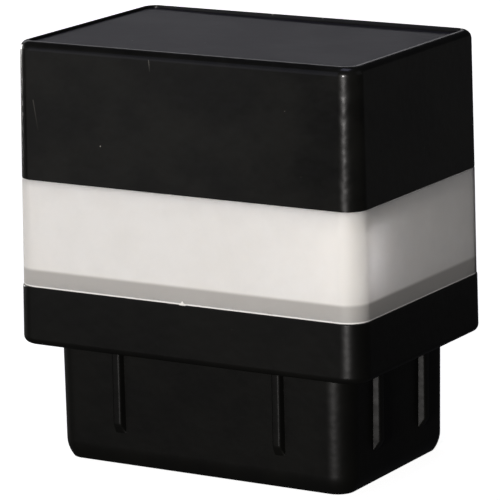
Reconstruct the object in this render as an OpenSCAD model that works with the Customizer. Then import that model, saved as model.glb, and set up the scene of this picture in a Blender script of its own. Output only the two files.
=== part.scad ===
// Deck post cap light: a small solar lamp whose plug presses into the top of a rectangular metal post.
// Origin: centre of the collar's underside, the plane that sits on the post's rim. +Z is up.
// The cap, the tray and the diffuser lift off the base together; the cell sits under a cover in the tray.

/* [Cap] */
// Width of the cap at its bottom edge
body_w = 64; // [64:1:90]
// Depth of the cap at its bottom edge
body_d = 42.7; // [42.5:0.1:60]
// Radius of the vertical corners
corner_r = 3.5; // [3.4:0.1:5]
// Height of the cap
cap_h = 22.5; // [21.5:0.5:40]
// Wall of the cap
cap_wall = 2; // [1.6:0.1:2.4]
// Mould draft of each cap wall over its whole height
cap_draft = 0.39; // [0.1:0.01:0.6]
// Radius round the cap's top edge
cap_edge_r = 1.1; // [0.6:0.1:1.4]
// Width of the rim left round the panel
panel_rim = 1.6; // [1.5:0.1:3]
// Thickness of the floor under the panel
pocket_floor = 1.5; // [1:0.1:2]

/* [Diffuser] */
// Height of the frosted band
band_h = 17.8; // [16:0.1:40]
// Wall of the frosted band
band_wall = 2; // [1.6:0.1:2.2]
// How far each wall of the band leans out by its bottom edge
band_flare = 0.23; // [0:0.01:0.5]
// Width of the ledge inside the band's top
ledge_w = 1.6; // [1.2:0.1:1.6]
// Thickness of that ledge
ledge_t = 1.2; // [0.8:0.1:1.6]
// Width of the gate mark on the band's bottom edge
gate_w = 1.1; // [0.5:0.1:2]

/* [Base] */
// Height of the collar
collar_h = 9.8; // [8:0.1:20]
// How far the collar stands out past the band's bottom edge
collar_proud = 0.1; // [0:0.05:0.5]
// Radius under the collar
collar_edge_r = 1.2; // [0.5:0.1:2]
// Floor thickness where the collar steps in to the plug
collar_floor = 2; // [1.5:0.1:3]
// Height of the locating rim inside the band
rim_h = 3; // [2.5:0.1:5]
// Wall of the locating rim
rim_wall = 1.6; // [1.2:0.1:2.2]
// Width of the ledge that carries the floor plate
step_w = 1.2; // [0.8:0.1:2]

/* [Plug] */
// Width of the plug, without its ribs
plug_w = 55; // [50:0.5:56]
// Depth of the plug, without its ribs
plug_d = 34.8; // [32:0.1:36]
// Length of the plug below the collar
plug_h = 19.8; // [18:0.1:40]
// Radius of the plug's vertical corners
plug_r = 4; // [3:0.1:5]
// Mould draft of each plug wall over its whole length
plug_draft = 0.15; // [0:0.01:0.4]
// Wall of the plug
plug_wall = 2; // [1.5:0.1:2.5]
// Floor of the plug
plug_floor = 2; // [1.5:0.1:4]
// Height of the rounded lead-in at the plug's bottom
lead_h = 3.2; // [2:0.1:5]
// How far the lead-in draws the wall in
lead_in = 1.1; // [0.5:0.1:1.5]
// Width of each crush rib
rib_w = 2.5; // [1:0.1:4]
// How far each crush rib stands out of its wall
rib_out = 1.05; // [0.5:0.05:1.5]
// Length of a crush rib's crest
rib_l = 12.6; // [8:0.1:13]
// Length of the ramp at the end of a crush rib
rib_ramp = 1.8; // [0.5:0.1:3]
// Spacing of the two ribs on each long wall
rib_gap_x = 30; // [10:1:36]
// Spacing of the two ribs on each short wall
rib_gap_y = 15.4; // [6:0.2:20]
// Diameter of the shallow pit round the mould gate under the plug
pit_d = 8; // [4:1:12]
// Depth of that pit
pit_h = 0.5; // [0.2:0.1:0.8]

/* [Solar panel] */
// How far the panel lies below the rim
panel_recess = 0.8; // [0.2:0.1:1.2]
// Thickness of the clear resin over the wafers
glazing_t = 0.8; // [0.5:0.1:1.5]
// Thickness of a wafer
wafer_t = 0.3; // [0.2:0.05:0.5]
// Thickness of the copper links on the wafers
link_t = 0.15; // [0.1:0.05:0.3]
// Thickness of the panel's backing board
backing_t = 1.2; // [0.8:0.1:1.6]
// Number of wafers
wafer_count = 4; // [2:1:6]
// Gap between two wafers
wafer_gap = 0.7; // [0.4:0.1:2]
// Plain border round the wafers
wafer_margin = 1.6; // [1:0.1:4]
// Thickness of the sealing tape under the panel
tape_t = 0.4; // [0.2:0.1:0.8]
// Width of the sealing tape
tape_w = 2; // [1:0.1:4]

/* [Light tray] */
// Thickness of the tray's plate
tray_t = 1.6; // [1.4:0.1:2]
// Height of the spigot above the cap's bottom edge
spigot_h = 2; // [1:0.1:2.5]
// Wall of the spigot
spigot_t = 1; // [0.8:0.1:1.2]
// Wall of the battery trough
trough_t = 1; // [0.8:0.1:1.05]
// Thickness of the battery cover
cover_t = 1.2; // [1:0.05:1.3]
// How far the cover laps the tray on each side
cover_lap = 0.6; // [0.4:0.1:0.8]
// Height of the cover's lips inside the trough
cover_lip = 2; // [1:0.1:2.5]
// Radius of the finger notch beside the cover
notch_r = 2; // [1.5:0.1:2.4]

/* [Battery] */
// Diameter of the cell in its sleeve
battery_d = 10.5; // [9:0.1:11]
// Length of the cell with its button
battery_l = 44.5; // [40:0.5:48]
// Height of the cell's button
button_h = 1; // [0.8:0.1:1.5]
// Thickness of the cell's shrink sleeve
sleeve_t = 0.2; // [0.1:0.05:0.4]
// Thickness of the contact plates
contact_t = 0.3; // [0.2:0.05:0.4]
// Length of the spring when the cell is in
spring_l = 3.2; // [2.8:0.1:4]
// Diameter of the spring's wire
spring_wire = 0.5; // [0.4:0.05:0.6]

/* [Electronics] */
// Length of each circuit board
board_l = 36; // [34:1:40]
// Width of each circuit board
board_d = 7; // [6.6:0.1:8]
// Thickness of the circuit boards
board_t = 1.2; // [0.8:0.1:1.6]
// Diameter of an LED
led_d = 5; // [3:0.1:5]
// Height of an LED from its flange to its tip
led_h = 8.6; // [8.2:0.1:10]
// How far the LEDs reach below the tray
led_out = 2.2; // [1:0.1:3]
// Spacing of the two LEDs on a board
led_gap = 22; // [18:1:24]
// Spacing of the pegs that hold a board
peg_gap = 31; // [29:0.5:33]
// Diameter of a peg
peg_d = 2.8; // [2.4:0.1:3]
// Diameter of the pin on a peg's end
pin_d = 1.4; // [1:0.1:1.6]
// Diameter of the insulated leads
lead_d = 1.1; // [0.8:0.1:1.2]

/* [Switch] */
// Length of the switch body
switch_l = 8.6; // [8:0.1:10]
// Width of the switch body
switch_d = 3.7; // [3.4:0.1:5]
// Depth of the switch body under its board
switch_h = 3.6; // [3.4:0.1:3.8]
// Side of the knob's square stem
knob_side = 1.6; // [1:0.1:2]
// How far the knob slides from OFF to ON
knob_travel = 2; // [1:0.1:2.4]
// How far the knob stands out of the tray
knob_out = 0.8; // [0.4:0.1:2]

/* [Screws] */
// Diameter of a screw's shank
screw_d = 1.9; // [1.4:0.1:2]
// Length of a screw under its head
screw_l = 8; // [6:0.5:10]
// Diameter of a screw's head
screw_head_d = 3.8; // [3:0.1:4]
// Height of a screw's head
screw_head_h = 1.3; // [1:0.1:1.6]
// Diameter of the cap's screw bosses
boss_d = 5; // [4.4:0.1:5]
// Diameter of the base's screw bosses
base_boss_d = 6; // [5:0.1:7]
// How far a pilot hole runs past the screw's tip
pilot_extra = 1.5; // [0.5:0.1:2]
// Thickness of the base's white floor plate
plate_t = 1.4; // [1:0.1:2]

/* [Seals] */
// Width of the groove in the cap's bottom edge
cap_groove_w = 0.8; // [0.6:0.1:0.9]
// Width of the groove in the collar's top face
base_groove_w = 1; // [0.8:0.1:1.1]
// Depth of both grooves
groove_h = 0.8; // [0.5:0.1:1.2]
// Slack of a seal in its groove, on each side
groove_gap = 0.05; // [0.02:0.01:0.1]

/* [Clearances] */
// Between the band and the locating rim
rim_gap = 0.3; // [0.2:0.05:0.5]
// Round the tray inside the band
tray_gap = 0.15; // [0.1:0.05:0.3]
// Round the panel, the floor plate and the seals
seat_gap = 0.2; // [0.1:0.05:0.3]
// Round the cell
battery_gap = 0.4; // [0.3:0.05:0.5]
// Round the battery cover and the knob's stem
slide_gap = 0.3; // [0.2:0.05:0.4]
// Round a screw's shank in its hole
pilot_gap = 0.05; // [0.02:0.01:0.1]

/* [Hidden] */
$fn = 48;
// How far a cutting shape runs past the face it opens
cut = 1;
// Least corner radius inside a piece
least_r = 0.4;

// Levels, from the bottom up
cap_z = collar_h + band_h;
top_z = cap_z + cap_h;
tray_top = cap_z - ledge_t;
tray_z = tray_top - tray_t;
wafer_stack = wafer_t + link_t + glazing_t;
pocket_z = top_z - panel_recess - wafer_stack - backing_t - tape_t;
ceiling_z = pocket_z - pocket_floor;
backing_z = pocket_z + tape_t;
wafer_z = backing_z + backing_t;
cell_z = tray_z + cover_t + battery_gap + battery_d / 2;
roof_z = cell_z + battery_d / 2 + battery_gap;
roof_top = roof_z + trough_t;
board_z = tray_z - led_out + led_h;
board_top = board_z + board_t;
plate_z = collar_h;

// Plan sizes
ledge_in = band_wall + ledge_w;
ledge_r = max(corner_r - ledge_in, least_r);
spigot_in = ledge_in + seat_gap;
spigot_r = max(corner_r - spigot_in, least_r);
spigot_wall_x = body_w / 2 - spigot_in - spigot_t;
spigot_wall_y = body_d / 2 - spigot_in - spigot_t;
foot_w = body_w + 2 * band_flare;
foot_d = body_d + 2 * band_flare;
foot_r = corner_r + band_flare;
collar_w = foot_w + 2 * collar_proud;
collar_d = foot_d + 2 * collar_proud;
collar_r = foot_r + collar_proud;
rim_in = band_wall + rim_gap;
rim_bore_in = rim_in + rim_wall;
panel_in = cap_draft + panel_rim;
pocket_w = body_w - 2 * panel_in;
pocket_d = body_d - 2 * panel_in;
pocket_r = corner_r - panel_in;
panel_w = pocket_w - 2 * seat_gap;
panel_d = pocket_d - 2 * seat_gap;
panel_r = pocket_r - seat_gap;
wafer_w = panel_w - 2 * wafer_margin;
wafer_d = (panel_d - 2 * wafer_margin - (wafer_count - 1) * wafer_gap) / wafer_count;
wafer_pitch = wafer_d + wafer_gap;
bay_l = battery_l + 2 * contact_t + spring_l;
bay_w = battery_d + 2 * battery_gap;
trough_y = bay_w / 2 + trough_t;
// The boards and the cap's bosses lie midway between the trough and the spigot
board_y = (trough_y + spigot_wall_y) / 2;
boss_x = spigot_wall_x - slide_gap - boss_d / 2;
boss_y = board_y;
base_boss_in = 0.5 - plug_wall - base_boss_d / 2;
base_boss_x = plug_w / 2 + base_boss_in;
base_boss_y = plug_d / 2 + base_boss_in;
screw_hole_d = screw_d + 2 * pilot_gap;
cover_l = bay_l + 2 * cover_lap;
cover_w = bay_w + 2 * cover_lap;
cap_groove_in = (cap_wall - cap_groove_w) / 2;
base_groove_in = (band_wall - base_groove_w) / 2;
// Solder tab of a contact plate, and how much wider the slot is that it passes
tab_w = 3;
tab_room = 1.4;
tab_slot_l = 4 * contact_t;
// Rows of solder points and of parts on the control board
lead_row = board_y - board_d / 4;
part_row = board_y + board_d / 4;
// Places along the board, and the spacing of a pair of leads
pair_gap = lead_d + 0.7;
panel_lead_x = -5;
link_lead_x = 2.4;
battery_lead_x = 13;
chip_x = 8;
coil_x = -11;
disc_x = 15;
// Straight length of a lead at its solder point
lead_stub = 2;
// Height at which leads cross over the trough
crossing_z = roof_top + lead_d;

black_abs = "#1d1d1c";
frosted = "#e6e3dd";
white_abs = "#f1f1ec";
board_green = "#1f5a34";
tinned = "#b9bcbd";

// ---------- Shapes that several pieces share ----------

// Outline of a rectangle with round corners
module rounded_rect(w, d, r) {
    square([w - 2 * r, d], center = true);
    square([w, d - 2 * r], center = true);
    for (x = [-1, 1], y = [-1, 1])
        translate([x * (w / 2 - r), y * (d / 2 - r)])
            circle(r);
}

// Upright block with a rounded outline, from z0 to z1
module prism(w, d, r, z0, z1) {
    translate([0, 0, z0])
        linear_extrude(z1 - z0)
            rounded_rect(w, d, r);
}

// Flat ring between two rounded outlines; inset is the ring's width
module ring(w, d, r, inset, z0, z1) {
    difference() {
        prism(w, d, r, z0, z1);
        prism(w - 2 * inset, d - 2 * inset, max(r - inset, least_r), z0 - cut, z1 + cut);
    }
}

// Rounded block whose edge follows the child: a section drawn from the corner's axis outwards
module edge_block(w, d, r, z0, z1) {
    long_x = w - 2 * r;
    long_y = d - 2 * r;
    for (i = [0:3])
        translate([(i == 0 || i == 3 ? 1 : -1) * long_x / 2, (i < 2 ? 1 : -1) * long_y / 2, 0])
            rotate([0, 0, 90 * i])
                rotate_extrude(angle = 90)
                    children();
    for (m = [0, 1])
        mirror([0, m, 0])
            translate([0, long_y / 2, 0])
                rotate([90, 0, 90])
                    linear_extrude(long_x, center = true)
                        children();
    for (m = [0, 1])
        mirror([m, 0, 0])
            translate([long_x / 2, 0, 0])
                rotate([90, 0, 0])
                    linear_extrude(long_y, center = true)
                        children();
    translate([-long_x / 2, -long_y / 2, z0])
        cube([long_x, long_y, z1 - z0]);
}

// Section of a leaning wall: radius r0 at z0 and r1 at z1
module leaning_section(r0, r1, z0, z1) {
    polygon([[0, z0], [r0, z0], [r1, z1], [0, z1]]);
}

// Section of the cap: a drafted wall that ends in a round top edge
module cap_section() {
    lean = atan(cap_draft / cap_h);
    round_z = top_z - cap_edge_r;
    round_x = corner_r - cap_draft * (round_z - cap_z) / cap_h - cap_edge_r / cos(lean);
    polygon([
        [0, cap_z],
        [corner_r, cap_z],
        [round_x + cap_edge_r * cos(lean), round_z + cap_edge_r * sin(lean)],
        [round_x, top_z],
        [0, top_z]
    ]);
    translate([round_x, round_z])
        circle(cap_edge_r);
}

// Section of the collar: a straight wall with a round bottom edge
module collar_section() {
    polygon([
        [0, 0],
        [collar_r - collar_edge_r, 0],
        [collar_r, collar_edge_r],
        [collar_r, collar_h],
        [0, collar_h]
    ]);
    translate([collar_r - collar_edge_r, collar_edge_r])
        circle(collar_edge_r);
}

// Section of the plug: a drafted wall that curves in near its bottom
module plug_section() {
    curve_r = (lead_h * lead_h + lead_in * lead_in) / (2 * lead_in);
    foot = plug_r - plug_draft;
    intersection() {
        leaning_section(foot, plug_r, -plug_h, 0);
        union() {
            translate([foot - curve_r, lead_h - plug_h])
                circle(curve_r, $fn = 180);
            translate([0, lead_h - plug_h])
                square([plug_r + cut, plug_h - lead_h]);
        }
    }
}

// Pan-head screw, head up, shank down from z = 0
module screw() {
    dome_r = (screw_head_d * screw_head_d / 4 + screw_head_h * screw_head_h) / (2 * screw_head_h);
    tip_l = screw_d / 2;
    recess_l = screw_head_d / 1.7;
    recess_w = screw_head_d / 7;
    difference() {
        rotate_extrude()
            intersection() {
                square([screw_head_d / 2, screw_head_h]);
                translate([0, screw_head_h - dome_r])
                    circle(dome_r, $fn = 90);
            }
        for (a = [0, 90])
            rotate([0, 0, a])
                translate([-recess_l / 2, -recess_w / 2, screw_head_h / 2])
                    cube([recess_l, recess_w, screw_head_h]);
    }
    translate([0, 0, tip_l - screw_l])
        cylinder(h = screw_l - tip_l, d = screw_d);
    translate([0, 0, -screw_l])
        cylinder(h = tip_l, r1 = screw_d / 8, r2 = screw_d / 2);
}

function unit(v) = v / norm(v);

// Point at share t of step i on a smooth curve through the points p
function curve_point(p, i, t) =
    let (a = p[max(i - 1, 0)], b = p[i], c = p[i + 1], d = p[min(i + 2, len(p) - 1)])
    b + 0.5 * t * (c - a + t * (2 * a - 5 * b + 4 * c - d + t * (3 * b - a - 3 * c + d)));

function curve(p, steps) = [
    for (i = [0:len(p) - 2], k = [0:steps - 1]) curve_point(p, i, k / steps),
    p[len(p) - 1]
];

function directions(p) = [
    for (i = [0:len(p) - 1]) unit(p[min(i + 1, len(p) - 1)] - p[max(i - 1, 0)])
];

// A side vector for each direction, each turned as little as it can be from the one before
function sides(dirs, first) = [
    for (i = 0, s = unit(first - (first * dirs[0]) * dirs[0]); i < len(dirs);
         i = i + 1, s = i < len(dirs) ? unit(s - (s * dirs[i]) * dirs[i]) : s) s
];

// Round bar along the points p, as one closed skin
module bar(p, d, facets, first) {
    dirs = directions(p);
    side = sides(dirs, first);
    skin = [
        for (i = [0:len(p) - 1], k = [0:facets - 1])
            p[i] + d / 2 * (cos(360 * k / facets) * side[i] + sin(360 * k / facets) * cross(dirs[i], side[i]))
    ];
    last = (len(p) - 1) * facets;
    walls = [
        for (i = [0:len(p) - 2], k = [0:facets - 1])
            let (a = i * facets + k, b = i * facets + (k + 1) % facets)
                each [[a, a + facets, b], [b, a + facets, b + facets]]
    ];
    ends = [
        for (k = [1:facets - 2]) each [[0, k, k + 1], [last, last + k + 1, last + k]]
    ];
    polyhedron(skin, concat(walls, ends));
}

// Insulated lead: straight at both ends, square to what it is soldered to, and curved between
module lead(points) {
    last = len(points) - 1;
    middle = curve([for (i = [1:last - 1]) points[i]], 5);
    bar(concat([points[0]], middle, [points[last]]), lead_d, 8, [1, 0.3, 0.2]);
}

// ---------- Cap and panel ----------

module cap_shell() color(black_abs) {
    cavity_r = corner_r - cap_wall;
    difference() {
        union() {
            difference() {
                edge_block(body_w, body_d, corner_r, cap_z, top_z)
                    cap_section();
                edge_block(body_w - 2 * cap_wall, body_d - 2 * cap_wall, cavity_r, cap_z - cut, ceiling_z)
                    leaning_section(
                        cavity_r + cap_draft * cut / cap_h,
                        cavity_r - cap_draft * (ceiling_z - cap_z) / cap_h,
                        cap_z - cut, ceiling_z);
            }
            for (x = [-1, 1], y = [-1, 1])
                cap_boss(x, y);
        }
        prism(pocket_w, pocket_d, pocket_r, pocket_z, top_z + cut);
        translate([panel_lead_x - pair_gap - lead_d, -lead_row - lead_d, ceiling_z - cut])
            cube([2 * (pair_gap + lead_d), 2 * lead_d, pocket_floor + 2 * cut]);
        for (x = [-1, 1], y = [-1, 1])
            translate([x * boss_x, y * boss_y, tray_top - cut])
                cylinder(h = screw_l - tray_t + pilot_extra + cut, d = screw_hole_d);
        ring(body_w - 2 * cap_groove_in, body_d - 2 * cap_groove_in, corner_r - cap_groove_in,
             cap_groove_w, cap_z - cut, cap_z + groove_h);
    }
}

// Boss for a tray screw, tied to the side wall by a web
module cap_boss(x, y) {
    wall_x = body_w / 2 - cap_wall;
    web_t = 1.2;
    web_z = cap_z + spigot_h + 1;
    end_z = ceiling_z + pocket_floor / 2;
    translate([x * boss_x, y * boss_y, tray_top])
        cylinder(h = end_z - tray_top, d = boss_d);
    translate([x > 0 ? boss_x : -wall_x, y * boss_y - web_t / 2, web_z])
        cube([wall_x - boss_x, web_t, end_z - web_z]);
}

module cap_gasket() color("#3a3a3a") {
    inset = cap_groove_in + groove_gap;
    ring(body_w - 2 * inset, body_d - 2 * inset, corner_r - inset,
         cap_groove_w - 2 * groove_gap, cap_z, cap_z + groove_h);
}

module panel_tape() color("#2b2b2b") {
    ring(panel_w, panel_d, panel_r, tape_w, pocket_z, backing_z);
}

module panel_backing() color("#20242c") {
    prism(panel_w, panel_d, panel_r, backing_z, wafer_z);
}

// Place of the corner of wafer i
function wafer_corner(i) = [-wafer_w / 2, wafer_margin - panel_d / 2 + i * wafer_pitch, wafer_z];

module solar_wafers() color("#25242e") {
    for (i = [0:wafer_count - 1])
        translate(wafer_corner(i))
            cube([wafer_w, wafer_d, wafer_t]);
}

// Box of the copper link between wafers i and i + 1, at alternate ends; grow is added all round
module link_box(i, grow) {
    link_w = 2;
    link_lap = 2;
    link_l = wafer_gap + 2 * link_lap;
    end_x = (i % 2 == 0 ? 1 : -1) * (wafer_w / 2 - 3);
    translate([end_x - link_w / 2 - grow, wafer_corner(i)[1] + wafer_d - link_lap - grow, wafer_z + wafer_t])
        cube([link_w + 2 * grow, link_l + 2 * grow, link_t + grow]);
}

module wafer_links() color(tinned) {
    for (i = [0:wafer_count - 2])
        link_box(i, 0);
}

// Clear resin cast over the wafers, with room for them in its underside
module panel_glazing() color([0.24, 0.24, 0.28, 0.5]) {
    skin = 0.05;
    difference() {
        prism(panel_w, panel_d, panel_r, wafer_z, wafer_z + wafer_stack);
        for (i = [0:wafer_count - 1])
            translate(wafer_corner(i) - [skin, skin, cut])
                cube([wafer_w + 2 * skin, wafer_d + 2 * skin, wafer_t + cut + skin]);
        for (i = [0:wafer_count - 2])
            translate([0, 0, -skin])
                link_box(i, 2 * skin);
    }
}

// ---------- Diffuser ----------

module diffuser() color(frosted) {
    inner_r = corner_r - band_wall;
    difference() {
        union() {
            edge_block(body_w, body_d, corner_r, collar_h, cap_z)
                leaning_section(foot_r, corner_r, collar_h, cap_z);
            gate_mark();
        }
        edge_block(body_w - 2 * band_wall, body_d - 2 * band_wall, inner_r, collar_h - cut, tray_top)
            leaning_section(
                inner_r + band_flare * (band_h + cut) / band_h,
                inner_r + band_flare * ledge_t / band_h,
                collar_h - cut, tray_top);
        prism(body_w - 2 * ledge_in, body_d - 2 * ledge_in, ledge_r, tray_top - cut, cap_z + cut);
    }
}

// Small wedge that is left where the plastic entered the mould
module gate_mark() {
    proud = 0.12;
    gate_h = gate_w * 0.65;
    translate([0, band_wall / 2 - foot_d / 2, collar_h])
        rotate([90, 0, 0])
            linear_extrude(band_wall / 2 + proud)
                polygon([[-gate_w / 2, 0], [gate_w / 2, 0], [0, gate_h]]);
}

// ---------- Light tray and battery bay ----------

module light_tray() color(white_abs) difference() {
    union() {
        prism(body_w - 2 * (band_wall + tray_gap), body_d - 2 * (band_wall + tray_gap),
              corner_r - band_wall - tray_gap, tray_z, tray_top);
        ring(body_w - 2 * spigot_in, body_d - 2 * spigot_in, spigot_r, spigot_t,
             tray_top - tray_t / 2, cap_z + spigot_h);
        translate([-bay_l / 2 - trough_t, -trough_y, tray_z + tray_t / 2])
            cube([bay_l + 2 * trough_t, 2 * trough_y, roof_top - tray_z - tray_t / 2]);
        for (x = [-1, 1], y = [-1, 1])
            translate([x * peg_gap / 2, y * board_y, tray_top - tray_t / 2])
                peg();
    }
    translate([-bay_l / 2, -bay_w / 2, tray_z - cut])
        cube([bay_l, bay_w, roof_z - tray_z + cut]);
    translate([-cover_l / 2 - slide_gap / 2, -cover_w / 2 - slide_gap / 2, tray_z - cut])
        cube([cover_l + slide_gap, cover_w + slide_gap, cover_t + cut]);
    finger_notch();
    for (x = [-1, 1])
        translate([x > 0 ? bay_l / 2 - tab_slot_l : -bay_l / 2, -(tab_w + tab_room) / 2, roof_z - cut])
            cube([tab_slot_l, tab_w + tab_room, trough_t + 2 * cut]);
    for (x = [-1, 1], y = [-1, 1]) {
        translate([x * led_gap / 2, y * board_y, tray_z - cut])
            cylinder(h = tray_t + 2 * cut, d = led_d + 2 * pilot_gap);
        translate([x * boss_x, y * boss_y, tray_z - cut])
            cylinder(h = tray_t + 2 * cut, d = screw_hole_d);
    }
    stem_l = knob_travel + knob_side + 2 * slide_gap;
    stem_d = knob_side + 2 * slide_gap;
    translate([-stem_l / 2, -board_y - stem_d / 2, tray_z - cut])
        cube([stem_l, stem_d, tray_t + 2 * cut]);
}

// Post that carries a board, with a pin through the board's hole
module peg() {
    root = tray_t / 2;
    pin_out = 0.5;
    cylinder(h = board_z - tray_top + root, d = peg_d);
    cylinder(h = board_top - tray_top + root + pin_out, d = pin_d);
}

// Shallow scoop in the tray, beside the cover's edge
module finger_notch() {
    translate([0, cover_w / 2 + notch_r / 2, tray_z - cut])
        cylinder(h = cut + tray_t / 2, r = notch_r);
}

module battery_cover() color(white_abs) {
    lip_t = 0.8;
    lip_end = 4;
    lip_l = bay_l - 2 * lip_end;
    lip_y = bay_w / 2 - slide_gap - lip_t / 2;
    ridge_w = 0.6;
    ridge_l = 6;
    ridge_out = 0.3;
    ridge_pitch = 2;
    translate([-cover_l / 2, -cover_w / 2, tray_z])
        cube([cover_l, cover_w, cover_t]);
    for (y = [-1, 1])
        translate([-lip_l / 2, y * lip_y - lip_t / 2, tray_z + cover_t / 2])
            cube([lip_l, lip_t, cover_t / 2 + cover_lip]);
    for (i = [-3:3])
        translate([i * ridge_pitch - ridge_w / 2, -ridge_l / 2, tray_z - ridge_out])
            cube([ridge_w, ridge_l, 2 * ridge_out]);
}

// The cell lies along X with its button against the positive contact
cell_end_x = bay_l / 2 - contact_t;

module cell_can() color(tinned) {
    film_gap = 0.05;
    can_d = battery_d - 2 * (sleeve_t + film_gap);
    button_d = 3.6;
    translate([cell_end_x - battery_l, 0, cell_z])
        rotate([0, 90, 0])
            cylinder(h = battery_l - button_h, d = can_d);
    translate([cell_end_x - button_h - cut, 0, cell_z])
        rotate([0, 90, 0])
            cylinder(h = button_h + cut, d = button_d);
}

module cell_sleeve() color("#2f6f4a") {
    translate([cell_end_x - battery_l, 0, cell_z])
        rotate([0, 90, 0])
            difference() {
                cylinder(h = battery_l - button_h, d = battery_d);
                translate([0, 0, -cut])
                    cylinder(h = battery_l + 2 * cut, d = battery_d - 2 * sleeve_t);
            }
}

module cell_washer() color("white") {
    washer_t = 0.3;
    washer_d = battery_d - 2.2;
    hole_d = 4.2;
    translate([cell_end_x - button_h, 0, cell_z])
        rotate([0, 90, 0])
            difference() {
                cylinder(h = washer_t, d = washer_d);
                translate([0, 0, -cut])
                    cylinder(h = washer_t + 2 * cut, d = hole_d);
            }
}

// Contact plate with a solder tab that passes through the trough's roof
module contact(x) {
    plate_w = 7;
    foot_z = cell_z - plate_w / 2;
    end_z = crossing_z + lead_d * 0.7;
    translate([x, -plate_w / 2, foot_z])
        cube([contact_t, plate_w, roof_z - foot_z]);
    translate([x, -tab_w / 2, roof_z - cut])
        cube([contact_t, tab_w, end_z - roof_z + cut]);
}

module positive_contact() color(tinned) {
    contact(bay_l / 2 - contact_t);
}

module negative_contact() color(tinned) {
    contact(-bay_l / 2);
}

// Cone spring between the negative plate and the cell, wound as one wire
module negative_spring() color("#c9cccd") {
    turns = 3;
    wide_r = 3.4;
    narrow_r = 1.7;
    steps = 16 * turns;
    end_gap = 0.02;
    start_x = contact_t - bay_l / 2 + spring_wire / 2 + end_gap;
    run = spring_l - spring_wire - 2 * end_gap;
    wire = [
        for (i = [0:steps])
            let (s = i / steps, r = wide_r + (narrow_r - wide_r) * s, a = 360 * turns * s)
                [start_x + run * s, r * cos(a), cell_z + r * sin(a)]
    ];
    bar(wire, spring_wire, 6, [1, 0, 0]);
    // Points this many steps apart lie on different turns
    apart = 12;
    least_gap = min([
        for (i = [0:steps - 1], j = [i + apart:1:steps]) norm(wire[i] - wire[j]) - spring_wire
    ]);
    echo(spring_least_gap = least_gap);
}

// ---------- Electronics ----------

module board(y) {
    difference() {
        translate([-board_l / 2, y * board_y - board_d / 2, board_z])
            cube([board_l, board_d, board_t]);
        for (x = [-1, 1])
            translate([x * peg_gap / 2, y * board_y, board_z - cut])
                cylinder(h = board_t + 2 * cut, d = pin_d + 2 * pilot_gap);
    }
}

module control_board() color(board_green) {
    board(-1);
}

module rear_led_board() color(board_green) {
    board(1);
}

module leds() color([0.95, 0.94, 0.86, 0.8]) {
    flange_h = 1;
    flange_d = led_d + 0.8;
    for (x = [-1, 1], y = [-1, 1])
        translate([x * led_gap / 2, y * board_y, board_z])
            mirror([0, 0, 1]) {
                cylinder(h = flange_h, d = flange_d);
                cylinder(h = led_h - led_d / 2, d = led_d);
                translate([0, 0, led_h - led_d / 2])
                    sphere(d = led_d);
            }
}

module charge_chip() color("#202020") {
    chip_l = 4.2;
    chip_d = 3.2;
    chip_h = 1.6;
    translate([chip_x - chip_l / 2, -part_row - chip_d / 2, board_top])
        cube([chip_l, chip_d, chip_h]);
}

// Axial coil: a barrel on two wire feet
module boost_coil() color("#4d7f5c") {
    barrel_d = 3;
    barrel_l = 6.4;
    foot_in = 0.8;
    foot_d = 0.6;
    rise = 0.4;
    translate([coil_x, -part_row, board_top + rise + barrel_d / 2])
        rotate([0, 90, 0])
            cylinder(h = barrel_l, d = barrel_d, center = true);
    for (x = [-1, 1])
        translate([coil_x + x * (barrel_l / 2 - foot_in), -part_row, board_top])
            cylinder(h = rise + barrel_d / 4, d = foot_d);
}

// Disc capacitor standing on edge
module smoothing_capacitor() color("#c98a2f") {
    disc_d = 4.4;
    disc_t = 1.6;
    leg_d = 0.5;
    leg_gap = 2;
    rise = 0.5;
    translate([disc_x, -part_row, board_top + rise + disc_d / 2])
        rotate([90, 0, 0])
            cylinder(h = disc_t, d = disc_d, center = true);
    for (x = [-1, 1])
        translate([disc_x + x * leg_gap / 2, -part_row, board_top])
            cylinder(h = rise + disc_d / 4, d = leg_d);
}

// Depth of the insulating base at the top of the switch, and the thickness of its metal cover
switch_base_h = 1.4;
switch_skin = 0.3;

module switch_base() color("#3b2f24") {
    translate([-switch_l / 2, -board_y - switch_d / 2, board_z - switch_base_h])
        cube([switch_l, switch_d, switch_base_h]);
}

module switch_cover() color(tinned) {
    cover_h = switch_h - switch_base_h;
    slot_l = knob_travel + knob_side + slide_gap;
    slot_d = knob_side + slide_gap;
    translate([0, -board_y, board_z - switch_h])
        difference() {
            translate([-switch_l / 2, -switch_d / 2, 0])
                cube([switch_l, switch_d, cover_h]);
            translate([switch_skin - switch_l / 2, switch_skin - switch_d / 2, switch_skin])
                cube([switch_l - 2 * switch_skin, switch_d - 2 * switch_skin, cover_h]);
            translate([-slot_l / 2, -slot_d / 2, -cut])
                cube([slot_l, slot_d, switch_skin + 2 * cut]);
        }
}

// Slider inside the switch and its stem through the tray, drawn at OFF
module switch_knob() color("#151515") {
    slider_l = switch_l - 2 * switch_skin - knob_travel - slide_gap;
    slider_d = switch_d - 2 * switch_skin - slide_gap;
    slider_z = board_z - switch_h + switch_skin + slide_gap / 2;
    slider_h = switch_h - switch_base_h - switch_skin - slide_gap;
    stem_z = tray_z - knob_out;
    translate([-knob_travel / 2, -board_y, 0]) {
        translate([-slider_l / 2, -slider_d / 2, slider_z])
            cube([slider_l, slider_d, slider_h]);
        translate([-knob_side / 2, -knob_side / 2, stem_z])
            cube([knob_side, knob_side, slider_z - stem_z + slider_h / 2]);
    }
}

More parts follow.
